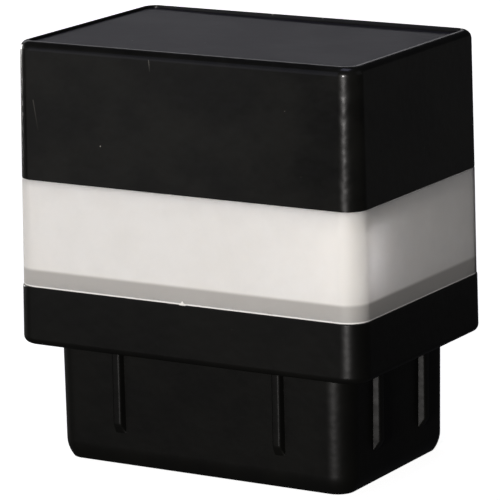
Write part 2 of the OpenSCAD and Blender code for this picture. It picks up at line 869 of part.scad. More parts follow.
// Panel leads drop through the pocket's slot to the control board
module panel_leads() color("#8a1f1f") {
    bow = 0.6;
    for (s = [-0.5, 0.5]) {
        x = panel_lead_x + s * pair_gap;
        lead([
            [x, -lead_row, backing_z],
            [x, -lead_row, backing_z - lead_stub],
            [x, -lead_row - bow, (backing_z + board_top) / 2],
            [x, -lead_row, board_top + lead_stub],
            [x, -lead_row, board_top]
        ]);
    }
}

// Leads from the two contact tabs to the control board
module battery_leads() color("#b52020") {
    tab_x = bay_l / 2 - contact_t;
    for (s = [-1, 1])
        lead([
            [s * tab_x, 0, crossing_z],
            [s * (tab_x - lead_stub), 0, crossing_z],
            [s * (tab_x + battery_lead_x) / 2, -trough_y * 0.6, crossing_z + 0.1],
            [s * (battery_lead_x + 1), -trough_y - 0.2, crossing_z - 0.5],
            [s * battery_lead_x, -lead_row, roof_top - lead_stub],
            [s * battery_lead_x, -lead_row, board_top + lead_stub],
            [s * battery_lead_x, -lead_row, board_top]
        ]);
}

// Leads that feed the rear LEDs, over the trough's roof
module link_leads() color("#2a2a2a") {
    bend = 2.6;
    for (s = [-0.5, 0.5]) {
        x = link_lead_x + s * pair_gap;
        lead([
            [x, -lead_row, board_top],
            [x, -lead_row, board_top + lead_stub],
            [x, -lead_row, roof_top - bend],
            [x, -trough_y - 0.3, crossing_z - 0.4],
            [x, bend - trough_y, crossing_z],
            [x, 0, crossing_z],
            [x, trough_y - bend, crossing_z],
            [x, trough_y + 0.3, crossing_z - 0.4],
            [x, lead_row, roof_top - bend],
            [x, lead_row, board_top + lead_stub],
            [x, lead_row, board_top]
        ]);
    }
}

module tray_screws() color("#c8cacb") {
    for (x = [-1, 1], y = [-1, 1])
        translate([x * boss_x, y * boss_y, tray_z])
            mirror([0, 0, 1])
                screw();
}

// ---------- Base ----------

module base_housing() color(black_abs) difference() {
    union() {
        difference() {
            union() {
                edge_block(collar_w, collar_d, collar_r, 0, collar_h)
                    collar_section();
                edge_block(plug_w, plug_d, plug_r, -plug_h, 0)
                    plug_section();
                prism(foot_w - 2 * rim_in, foot_d - 2 * rim_in, foot_r - rim_in,
                      collar_h - cut, collar_h + rim_h);
                crush_ribs();
            }
            prism(foot_w - 2 * rim_bore_in, foot_d - 2 * rim_bore_in, max(foot_r - rim_bore_in, least_r),
                  plate_z, collar_h + rim_h + cut);
            prism(foot_w - 2 * (rim_bore_in + step_w), foot_d - 2 * (rim_bore_in + step_w), least_r,
                  collar_floor, collar_h + cut);
            prism(plug_w - 2 * plug_wall, plug_d - 2 * plug_wall, plug_r - plug_wall,
                  plug_floor - plug_h, collar_h);
        }
        for (x = [-1, 1], y = [-1, 1])
            translate([x * base_boss_x, y * base_boss_y, plug_floor / 2 - plug_h])
                cylinder(h = plate_z + plug_h - plug_floor / 2, d = base_boss_d);
    }
    for (x = [-1, 1], y = [-1, 1])
        translate([x * base_boss_x, y * base_boss_y, plate_z + plate_t - screw_l - pilot_extra])
            cylinder(h = screw_l + pilot_extra, d = screw_hole_d);
    ring(foot_w - 2 * base_groove_in, foot_d - 2 * base_groove_in, foot_r - base_groove_in,
         base_groove_w, collar_h - groove_h, collar_h + cut);
    translate([0, 0, -plug_h - cut])
        cylinder(h = cut + pit_h, d = pit_d);
}

// Ribs that bite into the post's bore, two on each wall
module crush_ribs() {
    for (x = [-1, 1], y = [-1, 1]) {
        translate([x * rib_gap_x / 2, 0, 0])
            rotate([0, 0, y > 0 ? 90 : -90])
                crush_rib(plug_d / 2);
        translate([0, y * rib_gap_y / 2, 0])
            rotate([0, 0, x > 0 ? 0 : 180])
                crush_rib(plug_w / 2);
    }
}

// One rib on the wall that stands at x = wall
module crush_rib(wall) {
    root = wall - plug_wall / 2;
    crest = wall + rib_out;
    translate([0, rib_w / 2, 0])
        rotate([90, 0, 0])
            linear_extrude(rib_w)
                polygon([
                    [root, collar_floor / 2],
                    [crest, collar_floor / 2],
                    [crest, -rib_l],
                    [wall - plug_draft, -rib_l - rib_ramp],
                    [root, -rib_l - rib_ramp]
                ]);
}

module base_gasket() color("#3a3a3a") {
    inset = base_groove_in + groove_gap;
    ring(foot_w - 2 * inset, foot_d - 2 * inset, foot_r - inset,
         base_groove_w - 2 * groove_gap, collar_h - groove_h, collar_h);
}

// White plate that closes the base and floors the light chamber
module floor_plate() color(white_abs) {
    inset = rim_bore_in + seat_gap;
    difference() {
        prism(foot_w - 2 * inset, foot_d - 2 * inset, max(foot_r - inset, least_r),
              plate_z, plate_z + plate_t);
        for (x = [-1, 1], y = [-1, 1])
            translate([x * base_boss_x, y * base_boss_y, plate_z - cut])
                cylinder(h = plate_t + 2 * cut, d = screw_hole_d);
    }
}

module plate_screws() color("#c8cacb") {
    for (x = [-1, 1], y = [-1, 1])
        translate([x * base_boss_x, y * base_boss_y, plate_z + plate_t])
            screw();
}

cap_shell();
panel_tape();
panel_backing();
solar_wafers();
wafer_links();
panel_glazing();
cap_gasket();
diffuser();
light_tray();
battery_cover();
cell_can();
cell_sleeve();
cell_washer();
positive_contact();
negative_contact();
negative_spring();
control_board();
rear_led_board();
leds();
charge_chip();
boost_coil();
smoothing_capacitor();
switch_base();
switch_cover();
switch_knob();
panel_leads();
battery_leads();
link_leads();
tray_screws();
base_housing();
base_gasket();
floor_plate();
plate_screws();
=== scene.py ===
"""Looks of a solar post cap light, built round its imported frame.

The pieces that show are rebuilt here with their edge radii and ribs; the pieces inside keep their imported
shapes and get their own finishes. Lengths in the classes are millimetres.
"""

import logging
import math
from collections.abc import Sequence
from dataclasses import dataclass, field, replace
from enum import Enum

import bmesh
import bpy
from mathutils import Euler, Matrix, Vector


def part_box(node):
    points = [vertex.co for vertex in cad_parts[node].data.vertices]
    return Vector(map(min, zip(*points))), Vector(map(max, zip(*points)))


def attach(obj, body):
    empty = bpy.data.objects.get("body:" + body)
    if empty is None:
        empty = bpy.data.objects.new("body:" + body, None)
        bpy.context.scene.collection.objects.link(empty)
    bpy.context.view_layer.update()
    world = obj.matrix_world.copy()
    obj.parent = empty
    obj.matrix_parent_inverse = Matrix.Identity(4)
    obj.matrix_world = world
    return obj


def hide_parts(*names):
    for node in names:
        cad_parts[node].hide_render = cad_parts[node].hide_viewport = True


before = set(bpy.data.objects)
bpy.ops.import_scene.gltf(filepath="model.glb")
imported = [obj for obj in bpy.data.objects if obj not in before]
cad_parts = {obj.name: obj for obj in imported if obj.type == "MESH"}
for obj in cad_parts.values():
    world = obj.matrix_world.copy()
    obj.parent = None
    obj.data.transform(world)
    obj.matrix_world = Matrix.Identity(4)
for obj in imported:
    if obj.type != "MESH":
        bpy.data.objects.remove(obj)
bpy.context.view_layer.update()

logging.basicConfig(level=logging.INFO, format="%(message)s")
LOG = logging.getLogger("post_cap_light")

# Metres in a millimetre
MM = 0.001
# Steps round a quarter turn of an outline, round an edge for each millimetre of its radius, and round a rod
CORNER_STEPS = 14
EDGE_STEPS_PER_MM = 8
LEAST_EDGE_STEPS = 4
ROD_SIDES = 40
# Least corner radius of an outline that is drawn in
LEAST_RADIUS = 0.4
# Edges that turn by more than this stay sharp
SHARP_ANGLE = math.radians(40)
# Steps round the softened edge of a bar, and the shape of a round bevel
SOFT_STEPS = 2
ROUND_BEVEL = 0.5
# How far a cutting tool reaches past the piece
CUT_CLEAR = 1.0
# Distances under this count as none
CLOSE = 0.01
# What a noise texture mostly stays between
NOISE_RANGE = (0.33, 0.67)
# Length of one wave of a wave texture at a scale of one: its phase turns by 20 radians over each unit
WAVE_LENGTH = math.tau / 20
SMOOTH = {"interpolation_type": "SMOOTHSTEP"}

Socket = bpy.types.NodeSocket
Tree = bpy.types.NodeTree
Value = float | int | tuple | Socket
Place = tuple[float, float, float]
Layer = tuple[Socket, str]
Height = tuple[Socket, float]


def level(node: str, end: int) -> float:
    """Return the lowest (end 0) or highest (end 1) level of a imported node, in millimetres."""
    return round(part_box(node)[end].z / MM, 3)


# Levels where pieces end or meet: foot of the plug, collar under the band, tray under the cap's bosses and
# the band's ledge, and band under the cap
PLUG_Z = level("base_housing", 0)
COLLAR_Z = level("diffuser", 0)
TRAY_Z = level("cap_shell", 0)
SEAM_Z = level("diffuser", 1)
# Wall of the cap and the band, and diameter of a screw's hole
HEAD_WALL = 1.87
PILOT_D = 2.0


# ---------- Colour and node helpers ----------


def linear(hex_colour: str) -> tuple[float, float, float, float]:
    """Turn an sRGB colour into linear light.

    Args:
        hex_colour: Six hex digits after a hash sign.

    Returns:
        Red, green, blue and an alpha of one.
    """
    parts = [int(hex_colour[i : i + 2], 16) / 255 for i in (1, 3, 5)]
    lit = [p / 12.92 if p <= 0.04045 else ((p + 0.055) / 1.055) ** 2.4 for p in parts]
    return (lit[0], lit[1], lit[2], 1.0)


def sized(place: Socket, size_mm: float, **more: float) -> dict[str | int, Value]:
    """Return the inputs with which a texture's features are size_mm across."""
    return {"Vector": place, "Scale": 1 / (size_mm * MM), **more}


def mapped(
    value: Socket, start: float, end: float, low: float = 0.0, high: float = 1.0
) -> dict[str | int, Value]:
    """Return the inputs with which a range map turns start to end into low to high."""
    return {"Value": value, "From Min": start, "From Max": end, "To Min": low, "To Max": high}


def add_node(
    tree: Tree, kind: str, inputs: dict[str | int, Value] | None = None, **settings: str | float | bool
) -> bpy.types.Node:
    """Add a node with its settings, values and links.

    Args:
        tree: The tree that gets the node.
        kind: Blender's name of the node, without ShaderNode.
        inputs: What each input holds: a value, or the socket that feeds it.
        **settings: Properties of the node itself.

    Returns:
        The new node.
    """
    node = tree.nodes.new("ShaderNode" + kind)
    for key, value in settings.items():
        setattr(node, key, value)
    for key, value in (inputs or {}).items():
        if isinstance(value, Socket):
            tree.links.new(value, node.inputs[key])
        else:
            node.inputs[key].default_value = value
    return node


# ---------- Finishes ----------


@dataclass(frozen=True)
class Finish:
    """A moulded, cast, drawn or printed surface.

    Attributes:
        name: Name of the material.
        colour: Main colour, sRGB.
        tint: Colour that the main one drifts to in patches.
        roughness: Mean roughness.
        spread: How far the roughness drifts either way.
        patch_mm: Size of the patches.
        grain_mm: Size of the fine grain.
        grain_deep_mm: Height of that grain.
        stretch: How much longer the grain is along X, Y and Z.
        metallic: One for bare metal.
        ior: Index of refraction of anything but a metal.
        specular: Share of the gloss that the surface texture leaves; a half is the plain surface.
        coat: Weight of a clear coat.
        coat_dull: Roughness of that coat.
        clear: Share of light that goes through.
    """

    name: str
    colour: str
    tint: str
    roughness: float
    spread: float = 0.06
    patch_mm: float = 9.0
    # A mould's grain is finer than 0.1 mm; it is drawn coarser so that it shows
    grain_mm: float = 0.3
    grain_deep_mm: float = 0.004
    stretch: Place = (1.0, 1.0, 1.0)
    metallic: float = 0.0
    ior: float = 1.5
    specular: float = 0.5
    coat: float = 0.0
    coat_dull: float = 0.1
    clear: float = 0.0

    def build(self) -> bpy.types.Material:
        """Make the material.

        Returns:
            The new material.
        """
        material = bpy.data.materials.new(self.name)
        material.use_nodes = True
        tree = material.node_tree
        tree.nodes.clear()
        place = add_node(tree, "TexCoord").outputs["Object"]
        drift = self.drift(tree, place)
        dullness = mapped(drift, 0.0, 1.0, self.roughness - self.spread, self.roughness + self.spread)
        colour: Value = linear(self.colour)
        for share, hex_colour in self.layers(tree, place, drift):
            mixed = {0: share, 6: colour, 7: linear(hex_colour)}
            colour = add_node(tree, "Mix", mixed, data_type="RGBA").outputs[2]
        surface = self.others(tree, place)
        surface["Base Color"] = colour
        surface["Roughness"] = add_node(tree, "MapRange", dullness, **SMOOTH).outputs[0]
        for height, deep_mm in self.heights(tree, place):
            raised = {"Height": height, "Distance": deep_mm * MM}
            if "Normal" in surface:
                raised["Normal"] = surface["Normal"]
            surface["Normal"] = add_node(tree, "Bump", raised).outputs["Normal"]
        shader = add_node(tree, "BsdfPrincipled", surface)
        add_node(tree, "OutputMaterial", {"Surface": shader.outputs[0]})
        return material

    def others(self, tree: Tree, place: Socket) -> dict[str | int, Value]:
        """Gather the shader's inputs apart from colour, roughness and normal.

        Args:
            tree: The material's nodes.
            place: Position on the piece.

        Returns:
            What each input holds.
        """
        values: dict[str | int, Value] = {
            "Metallic": self.metallic,
            "Coat Weight": self.coat,
            "Coat Roughness": self.coat_dull,
            "Transmission Weight": self.clear,
        }
        if not self.metallic:
            values |= {"IOR": self.ior, "Specular IOR Level": self.specular}
        return values

    def drift(self, tree: Tree, place: Socket) -> Socket:
        """Make slow patches, from 0 to 1, as handling and moulding leave them."""
        noise = add_node(tree, "TexNoise", sized(place, self.patch_mm, Detail=5.0, Roughness=0.6))
        return add_node(tree, "MapRange", mapped(noise.outputs["Fac"], *NOISE_RANGE), **SMOOTH).outputs[0]

    def layers(self, tree: Tree, place: Socket, drift: Socket) -> list[Layer]:
        """List the share and colour of each layer over the main colour, lowest first."""
        return [(drift, self.tint)]

    def heights(self, tree: Tree, place: Socket) -> list[Height]:
        """List the reliefs of the surface, finest first.

        Args:
            tree: The material's nodes.
            place: Position on the piece.

        Returns:
            Pattern of each, and its height in millimetres.
        """
        squeeze = tuple(1 / s for s in self.stretch)
        drawn = add_node(tree, "Mapping", {"Vector": place, "Scale": squeeze}).outputs["Vector"]
        grain = add_node(tree, "TexNoise", sized(drawn, self.grain_mm, Detail=2.0))
        return [(grain.outputs["Fac"], self.grain_deep_mm)]


@dataclass(frozen=True)
class Mark:
    """A fleck, or a scratch where it has an end.

    Attributes:
        start: Its place, or where a scratch is strongest.
        width: Half its width.
        strength: How much of the dust's colour it shows at its start.
        end: Where a scratch has faded.
        faded: Share of its strength that a scratch still has there.
    """

    start: Place
    width: float
    strength: float
    end: Place | None = None
    faded: float = 0.15

    def share(self, tree: Tree, place: Socket) -> Socket:
        """Make the share of dust that this mark shows.

        Args:
            tree: The material's nodes.
            place: Position on the piece.

        Returns:
            The share.
        """
        run = (Vector(self.end or self.start) - Vector(self.start)) * MM
        offset = add_node(
            tree, "VectorMath", {0: place, 1: tuple(c * MM for c in self.start)}, operation="SUBTRACT"
        ).outputs["Vector"]
        # A fleck's run is zero, and the least length keeps it from being divided by
        part = tuple(run / max(run.length_squared, MM * MM))
        along = add_node(tree, "VectorMath", {0: offset, 1: part}, operation="DOT_PRODUCT").outputs["Value"]
        along = add_node(tree, "Clamp", {"Value": along}).outputs["Result"]
        nearest = add_node(
            tree, "VectorMath", {0: tuple(run), "Scale": along}, operation="SCALE"
        ).outputs["Vector"]
        away = add_node(tree, "VectorMath", {0: offset, 1: nearest}, operation="DISTANCE").outputs["Value"]
        ranges = (mapped(away, self.width * MM, 0.0, 0.0, self.strength), mapped(along, 1.0, 0.0, self.faded))
        near, left = (add_node(tree, "MapRange", inputs, **SMOOTH).outputs[0] for inputs in ranges)
        return add_node(tree, "Math", {0: near, 1: left}, operation="MULTIPLY").outputs[0]


@dataclass(frozen=True)
class Dusted(Finish):
    """A moulded or cast surface that has been outdoors: dust sits on it and fine scratches catch the light.

    Attributes:
        dust: Colour of dust and of scratched plastic.
        ripple_mm: Size of the slow ripple that breaks up a highlight.
        ripple_deep_mm: Height of that ripple.
        fleck_mm: Mean spacing of dust flecks.
        fleck_size: Radius of a fleck as a share of that spacing.
        fleck_share: Share of the places that hold a fleck.
        fleck_strength: How much of the dust's colour the strongest fleck shows.
        marks: Scratches and flecks that have their own places.
    """

    dust: str = "#a9a79d"
    ripple_mm: float = 2.0
    ripple_deep_mm: float = 0.085
    fleck_mm: float = 3.2
    fleck_size: float = 0.035
    fleck_share: float = 0.25
    fleck_strength: float = 0.5
    marks: tuple[Mark, ...] = ()

    def layers(self, tree: Tree, place: Socket, drift: Socket) -> list[Layer]:
        """Lay flecks and scratches over the plastic.

        Args:
            tree: The material's nodes.
            place: Position on the piece.
            drift: Patches from 0 to 1.

        Returns:
            Share and colour of each layer.
        """
        cells = add_node(tree, "TexVoronoi", sized(place, self.fleck_mm)).outputs
        draw = add_node(tree, "SeparateColor", {0: cells["Color"]}).outputs[0]
        ranges = (
            mapped(cells["Distance"], self.fleck_size, 0.0),
            mapped(draw, 1 - self.fleck_share, 1.0, 0.0, self.fleck_strength),
        )
        fleck, chance = (add_node(tree, "MapRange", inputs, **SMOOTH).outputs[0] for inputs in ranges)
        share = add_node(tree, "Math", {0: fleck, 1: chance}, operation="MULTIPLY").outputs[0]
        for mark in self.marks:
            both = {0: share, 1: mark.share(tree, place)}
            share = add_node(tree, "Math", both, operation="MAXIMUM").outputs[0]
        return [*super().layers(tree, place, drift), (share, self.dust)]

    def heights(self, tree: Tree, place: Socket) -> list[Height]:
        """Add the slow ripple to the fine grain."""
        ripple = add_node(tree, "TexNoise", sized(place, self.ripple_mm, Detail=1.0))
        return [*super().heights(tree, place), (ripple.outputs["Fac"], self.ripple_deep_mm)]


@dataclass(frozen=True)
class FrostedPolypropylene(Finish):
    """Frosted polypropylene: light spreads inside the wall, painted shade greys its corners and shows as a
    grey strip at its foot where a black rim stands behind it, and a painted highlight lightens its bottom
    edge.

    Attributes:
        glow_mm: How far light spreads inside the wall.
        corner_shade: Painted shade in the corners, darkening the ends of each wall where light falls off
            round them.
        corner_x: Distances along X where that colour starts and is full.
        corner_y: The same along Y.
        behind: Painted shade where the black rim stands close behind the wall.
        strip_z: Heights where that painted shade has gone and where it is full.
        edge: Painted highlight along the bottom edge.
        edge_z: Heights where the bottom edge with its painted highlight has gone and where it is full.
    """

    glow_mm: Place = (4.0, 3.9, 3.8)
    # Painted shade: a greyer colour towards the corners, for light lost round the ends of each wall
    corner_shade: str = "#dfddd8"
    corner_x: tuple[float, float] = (26.5, 31.5)
    corner_y: tuple[float, float] = (16.0, 21.0)
    # Painted shade: grey at the wall's foot, for light that the black rim behind it takes away
    behind: str = "#b6b4b0"
    strip_z: tuple[float, float] = (13.1, 12.4)
    # Painted highlight: a lighter colour along the very bottom edge
    edge: str = "#fbfaf6"
    edge_z: tuple[float, float] = (10.2, 10.0)

    def share(self, tree: Tree, value: Socket, limits_mm: tuple[float, float]) -> Socket:
        """Make a share that is none at the first limit along an axis and all at the second."""
        inputs = mapped(value, *(limit * MM for limit in limits_mm))
        return add_node(tree, "MapRange", inputs, **SMOOTH).outputs[0]

    def others(self, tree: Tree, place: Socket) -> dict[str | int, Value]:
        """Let light spread inside the wall, but not along its bottom edge, which carries a painted highlight.
        """
        height = add_node(tree, "SeparateXYZ", {0: place}).outputs["Z"]
        return {
            **super().others(tree, place),
            "Subsurface Weight": self.share(tree, height, self.edge_z[::-1]),
            "Subsurface Radius": tuple(g * MM for g in self.glow_mm),
            "Subsurface Scale": 1.0,
        }

    def layers(self, tree: Tree, place: Socket, drift: Socket) -> list[Layer]:
        """Paint shade on the corners and on the foot of the wall, and a highlight on its very edge.

        Args:
            tree: The material's nodes.
            place: Position on the piece.
            drift: Patches from 0 to 1.

        Returns:
            Share and colour of each layer.
        """
        spot = add_node(tree, "SeparateXYZ", {0: place}).outputs
        out = [add_node(tree, "Math", {0: spot[axis]}, operation="ABSOLUTE").outputs[0] for axis in "XY"]
        ends = {0: self.share(tree, out[0], self.corner_x), 1: self.share(tree, out[1], self.corner_y)}
        corner = add_node(tree, "Math", ends, operation="MULTIPLY").outputs[0]
        return [
            *super().layers(tree, place, drift),
            # Painted shade towards the corners
            (corner, self.corner_shade),
            # Painted shade at the foot of the wall
            (self.share(tree, spot["Z"], self.strip_z), self.behind),
            # Painted highlight on the bottom edge
            (self.share(tree, spot["Z"], self.edge_z), self.edge),
        ]


@dataclass(frozen=True)
class WovenLaminate(Finish):
    """Glass-fibre board: the weave shows faintly through its mask or lacquer.

    Attributes:
        thread_mm: Spacing of the glass threads.
        thread_deep_mm: Height of the weave.
    """

    thread_mm: float = 0.5
    thread_deep_mm: float = 0.01

    def heights(self, tree: Tree, place: Socket) -> list[Height]:
        """Raise the weave's threads both ways."""
        thread = sized(place, self.thread_mm / WAVE_LENGTH)
        waves = [add_node(tree, "TexWave", thread, bands_direction=axis).outputs["Fac"] for axis in "XY"]
        return [*super().heights(tree, place), *((wave, self.thread_deep_mm) for wave in waves)]


@dataclass(frozen=True)
class CellFoam(Finish):
    """Closed-cell foam or fibre card: small cells all over.

    Attributes:
        cell_mm: Size of a cell.
        cell_deep_mm: Depth of a cell.
    """

    cell_mm: float = 0.4
    cell_deep_mm: float = 0.05

    def heights(self, tree: Tree, place: Socket) -> list[Height]:
        """Dent the surface with cells."""
        cells = add_node(tree, "TexVoronoi", sized(place, self.cell_mm))
        return [*super().heights(tree, place), (cells.outputs["Distance"], self.cell_deep_mm)]


# ABS from a fine satin mould: nearly black, with a soft highlight that breaks up on the mould's ripple, and a
# second, tighter one from its skin
CAP_ABS = Dusted(
    "black_satin_moulded_abs_cap",
    "#0c0c0b",
    "#141412",
    0.32,
    spread=0.01,
    specular=0.19,
    coat=0.34,
    grain_deep_mm=0.0015,
    marks=(
        Mark((-27.72, -21.01, 40.85), 0.14, 0.12, end=(-26.88, -21.09, 36.01)),
        Mark((-5.64, -20.87, 48.91), 0.14, 0.22, end=(-5.48, -20.9, 47.2)),
        Mark((-14.99, -21.12, 34.33), 0.16, 0.9),
        Mark((-6.2, 19.4, 50.23), 0.3, 0.9),
        Mark((3.4, 19.4, 50.23), 0.3, 0.7),
    ),
)
# The same ABS from the base's mould, whose flatter ripple keeps its highlights whole
BASE_ABS = Dusted(
    "black_satin_moulded_abs_base",
    "#0b0b0a",
    "#0d0d0b",
    0.33,
    spread=0.01,
    specular=0.305,
    grain_deep_mm=0.0015,
    ripple_deep_mm=0.045,
    marks=(Mark((9.12, -21.68, 6.84), 0.14, 0.7),),
)
# Polypropylene from a frosted mould: milky, with light bleeding round its corners; painted shade greys its
# ends and foot, and a painted highlight lightens its bottom edge
FROSTED_PP = FrostedPolypropylene(
    "frosted_moulded_polypropylene", "#f3f0ea", "#eeebe5", 0.55, spread=0.04, ior=1.49, specular=0.35
)
# The nick that the mould's gate leaves: opaque white where the plastic tore
TORN_PP = Finish("torn_polypropylene_gate", "#fdfcf8", "#f4f2ec", 0.6, ior=1.49, grain_mm=0.15)
# Epoxy resin cast over the wafers, gone milky in the weather: an even violet grey with a dull sheen
WEATHERED_RESIN = Dusted(
    "weathered_cast_epoxy_resin",
    "#2b2a31",
    "#2e2d34",
    0.48,
    spread=0.02,
    patch_mm=14,
    grain_mm=0.5,
    grain_deep_mm=0.006,
    coat=0.16,
    ripple_deep_mm=0.02,
    fleck_mm=4.5,
    fleck_size=0.02,
    marks=(Mark((-15.9, -9.3, 49.56), 0.24, 0.6), Mark((-4.2, -5.9, 49.49), 0.24, 0.5)),
)


class Body(Enum):
    """Bodies of the model that pieces ride on."""

    BASE = "base"
    HEAD = "head"


class Join(Enum):
    """How a tool shape meets a piece."""

    ADD = "UNION"
    CUT = "DIFFERENCE"


# ---------- Mesh helpers ----------


@dataclass(frozen=True)
class Outline:
    """A rectangle with round corners.

    Attributes:
        half_x: Half its length.
        half_y: Half its width.
        radius: Corner radius.
    """

    half_x: float
    half_y: float
    radius: float

    def ring(self, inset: float, z: float) -> list[Vector]:
        """Make the points round this outline.

        Args:
            inset: How far the ring is drawn in from the outline.
            z: Height of the ring.

        Returns:
            The points, in metres.
        """
        radius = max(self.radius - inset, LEAST_RADIUS)
        points = []
        for corner in range(4):
            sign_x = 1 if corner in (0, 3) else -1
            sign_y = 1 if corner < 2 else -1
            centre = Vector(
                (sign_x * (self.half_x - inset - radius), sign_y * (self.half_y - inset - radius), z)
            )
            for step in range(CORNER_STEPS + 1):
                angle = math.pi / 2 * (corner + step / CORNER_STEPS)
                points.append((centre + radius * Vector((math.cos(angle), math.sin(angle), 0))) * MM)
        return points

    def rings(self, profile: Sequence[tuple[float, float]]) -> list[list[Vector]]:
        """Return one ring for each inset and height of a profile."""
        return [self.ring(inset, z) for inset, z in profile]


def circle_ring(radius: float, z: float) -> list[Vector]:
    """Make a round ring whose points pair with those of an outline.

    Args:
        radius: Radius of the ring.
        z: Its height.

    Returns:
        The points, in metres.
    """
    count = 4 * (CORNER_STEPS + 1)
    angles = [math.tau * (i + 0.5) / count for i in range(count)]
    return [Vector((radius * math.cos(a), radius * math.sin(a), z)) * MM for a in angles]


def softened(profile: Sequence[Place], closed: bool = False) -> list[tuple[float, float]]:
    """Round the corners of a section.

    Args:
        profile: Inset, height and corner radius of each corner.
        closed: Whether the last corner runs back to the first.

    Returns:
        Inset and height of each point.
    """
    points: list[tuple[float, float]] = []
    count = len(profile)
    for i, (inset, z, radius) in enumerate(profile):
        at_end = not closed and i in (0, count - 1)
        if radius == 0 or at_end:
            points.append((inset, z))
            continue
        here = Vector((inset, z))
        back = (Vector(profile[i - 1][:2]) - here).normalized()
        ahead = (Vector(profile[(i + 1) % count][:2]) - here).normalized()
        half = back.angle(ahead) / 2
        centre = here + (back + ahead).normalized() * radius / math.sin(half)
        first = here + back * radius / math.tan(half) - centre
        last = here + ahead * radius / math.tan(half) - centre
        steps = max(LEAST_EDGE_STEPS, round(EDGE_STEPS_PER_MM * radius))
        turn = first.angle_signed(last)
        for step in range(steps + 1):
            spoke = first.copy()
            spoke.rotate(Matrix.Rotation(-turn * step / steps, 2))
            points.append(tuple(centre + spoke))
    return points


def loft(name: str, rings: Sequence[Sequence[Vector]], closed: bool = False) -> bpy.types.Object:
    """Skin a row of rings with the same number of points.

    Args:
        name: Name of the piece.
        rings: The rings in order.
        closed: Whether the last ring joins the first; otherwise both end rings are filled.

    Returns:
        The new piece.
    """
    shape = bmesh.new()
    loops = [[shape.verts.new(p) for p in ring] for ring in rings]
    pairs = list(zip(loops, loops[1:]))
    if closed:
        pairs.append((loops[-1], loops[0]))
    else:
        shape.faces.new(loops[0])
        shape.faces.new(loops[-1])
    for low, high in pairs:
        for i in range(len(low)):
            j = (i + 1) % len(low)
            shape.faces.new((low[i], low[j], high[j], high[i]))
    return as_piece(name, shape)


def as_piece(name: str, shape: bmesh.types.BMesh) -> bpy.types.Object:
    """Turn a shape into an object in the scene.

    Args:
        name: Name of the piece.
        shape: The shape, which is freed.

    Returns:
        The new object.
    """
    bmesh.ops.recalc_face_normals(shape, faces=shape.faces)
    mesh = bpy.data.meshes.new(name)
    shape.to_mesh(mesh)
    shape.free()
    piece = bpy.data.objects.new(name, mesh)
    bpy.context.scene.collection.objects.link(piece)
    return piece


def add_box(shape: bmesh.types.BMesh, low: Place, high: Place) -> None:
    """Add a box to a tool shape.

    Args:
        shape: The tool shape.
        low: Its lowest corner.
        high: Its highest corner.
    """
    size = Vector(high) - Vector(low)
    middle = Matrix.Translation((Vector(high) + Vector(low)) / 2 * MM)
    bmesh.ops.create_cube(shape, size=1, matrix=middle @ Matrix.Diagonal((*(size * MM), 1)))


def add_rod(shape: bmesh.types.BMesh, foot: Place, height: float, width: float) -> None:
    """Add an upright rod to a tool shape.

    Args:
        shape: The tool shape.
        foot: Middle of its lower end.
        height: Its height.
        width: Its diameter.
    """
    middle = Matrix.Translation((Vector(foot) + Vector((0, 0, height / 2))) * MM)
    radius = width / 2 * MM
    bmesh.ops.create_cone(
        shape, cap_ends=True, segments=ROD_SIDES, radius1=radius, radius2=radius, depth=height * MM,
        matrix=middle,
    )


def add_bar(
    shape: bmesh.types.BMesh,
    section: Sequence[tuple[float, float]],
    width: float,
    turn: Matrix,
    soft: float = 0.0,
    draft: float = 0.0,
) -> None:
    """Add a bar whose section lies in the XZ plane.

    Args:
        shape: The tool shape.
        section: X and Z of the section's corners.
        width: Width of the bar along Y.
        turn: Where the bar goes, in millimetres.
        soft: Radius along the section's outer edges.
        draft: How much each side draws in along X, for each millimetre.
    """
    bar = bmesh.new()
    root = min(x for x, z in section)
    sides = [
        [bar.verts.new((x, s * (width / 2 - draft * (x - root)), z)) for x, z in section] for s in (-1, 1)
    ]
    for side in sides:
        bar.faces.new(side)
    count = len(section)
    for i in range(count):
        j = (i + 1) % count
        bar.faces.new((sides[0][i], sides[0][j], sides[1][j], sides[1][i]))
    bmesh.ops.recalc_face_normals(bar, faces=bar.faces)
    if soft:
        edges = [e for e in bar.edges if all(v.co.x > root + soft for v in e.verts)]
        bmesh.ops.bevel(
            bar, geom=edges, offset=soft, segments=SOFT_STEPS, profile=ROUND_BEVEL, affect="EDGES"
        )
    bmesh.ops.transform(bar, matrix=Matrix.Scale(MM, 4) @ turn, verts=bar.verts)
    mesh = bpy.data.meshes.new("bar")
    bar.to_mesh(mesh)
    bar.free()
    shape.from_mesh(mesh)
    bpy.data.meshes.remove(mesh)


def combine(piece: bpy.types.Object, shape: bmesh.types.BMesh, join: Join) -> None:
    """Join a tool shape to a piece, or cut it out.

    Args:
        piece: The piece that changes.
        shape: The tool shape, which is freed.
        join: What is done with it.
    """
    tool = as_piece(piece.name + "_tool", shape)
    modifier = piece.modifiers.new("combine", "BOOLEAN")
    modifier.operation = join.value
    modifier.object = tool
    modifier.solver = "EXACT"
    result = bpy.data.meshes.new_from_object(piece.evaluated_get(bpy.context.evaluated_depsgraph_get()))
    piece.modifiers.clear()
    old = piece.data
    piece.data = result
    bpy.data.meshes.remove(old)
    bpy.data.objects.remove(tool)


def four_rods(x: float, y: float, low_z: float, high_z: float, width: float) -> bmesh.types.BMesh:
    """Make a tool shape of four upright rods, one in each quarter.

    Args:
        x: Their place along X.
        y: Their place along Y.
        low_z: Height of their lower ends.
        high_z: Height of their upper ends.
        width: Their diameter.

    Returns:
        The rods.
    """
    shape = bmesh.new()
    for side_x in (-1, 1):
        for side_y in (-1, 1):
            add_rod(shape, (side_x * x, side_y * y, low_z), high_z - low_z, width)
    return shape


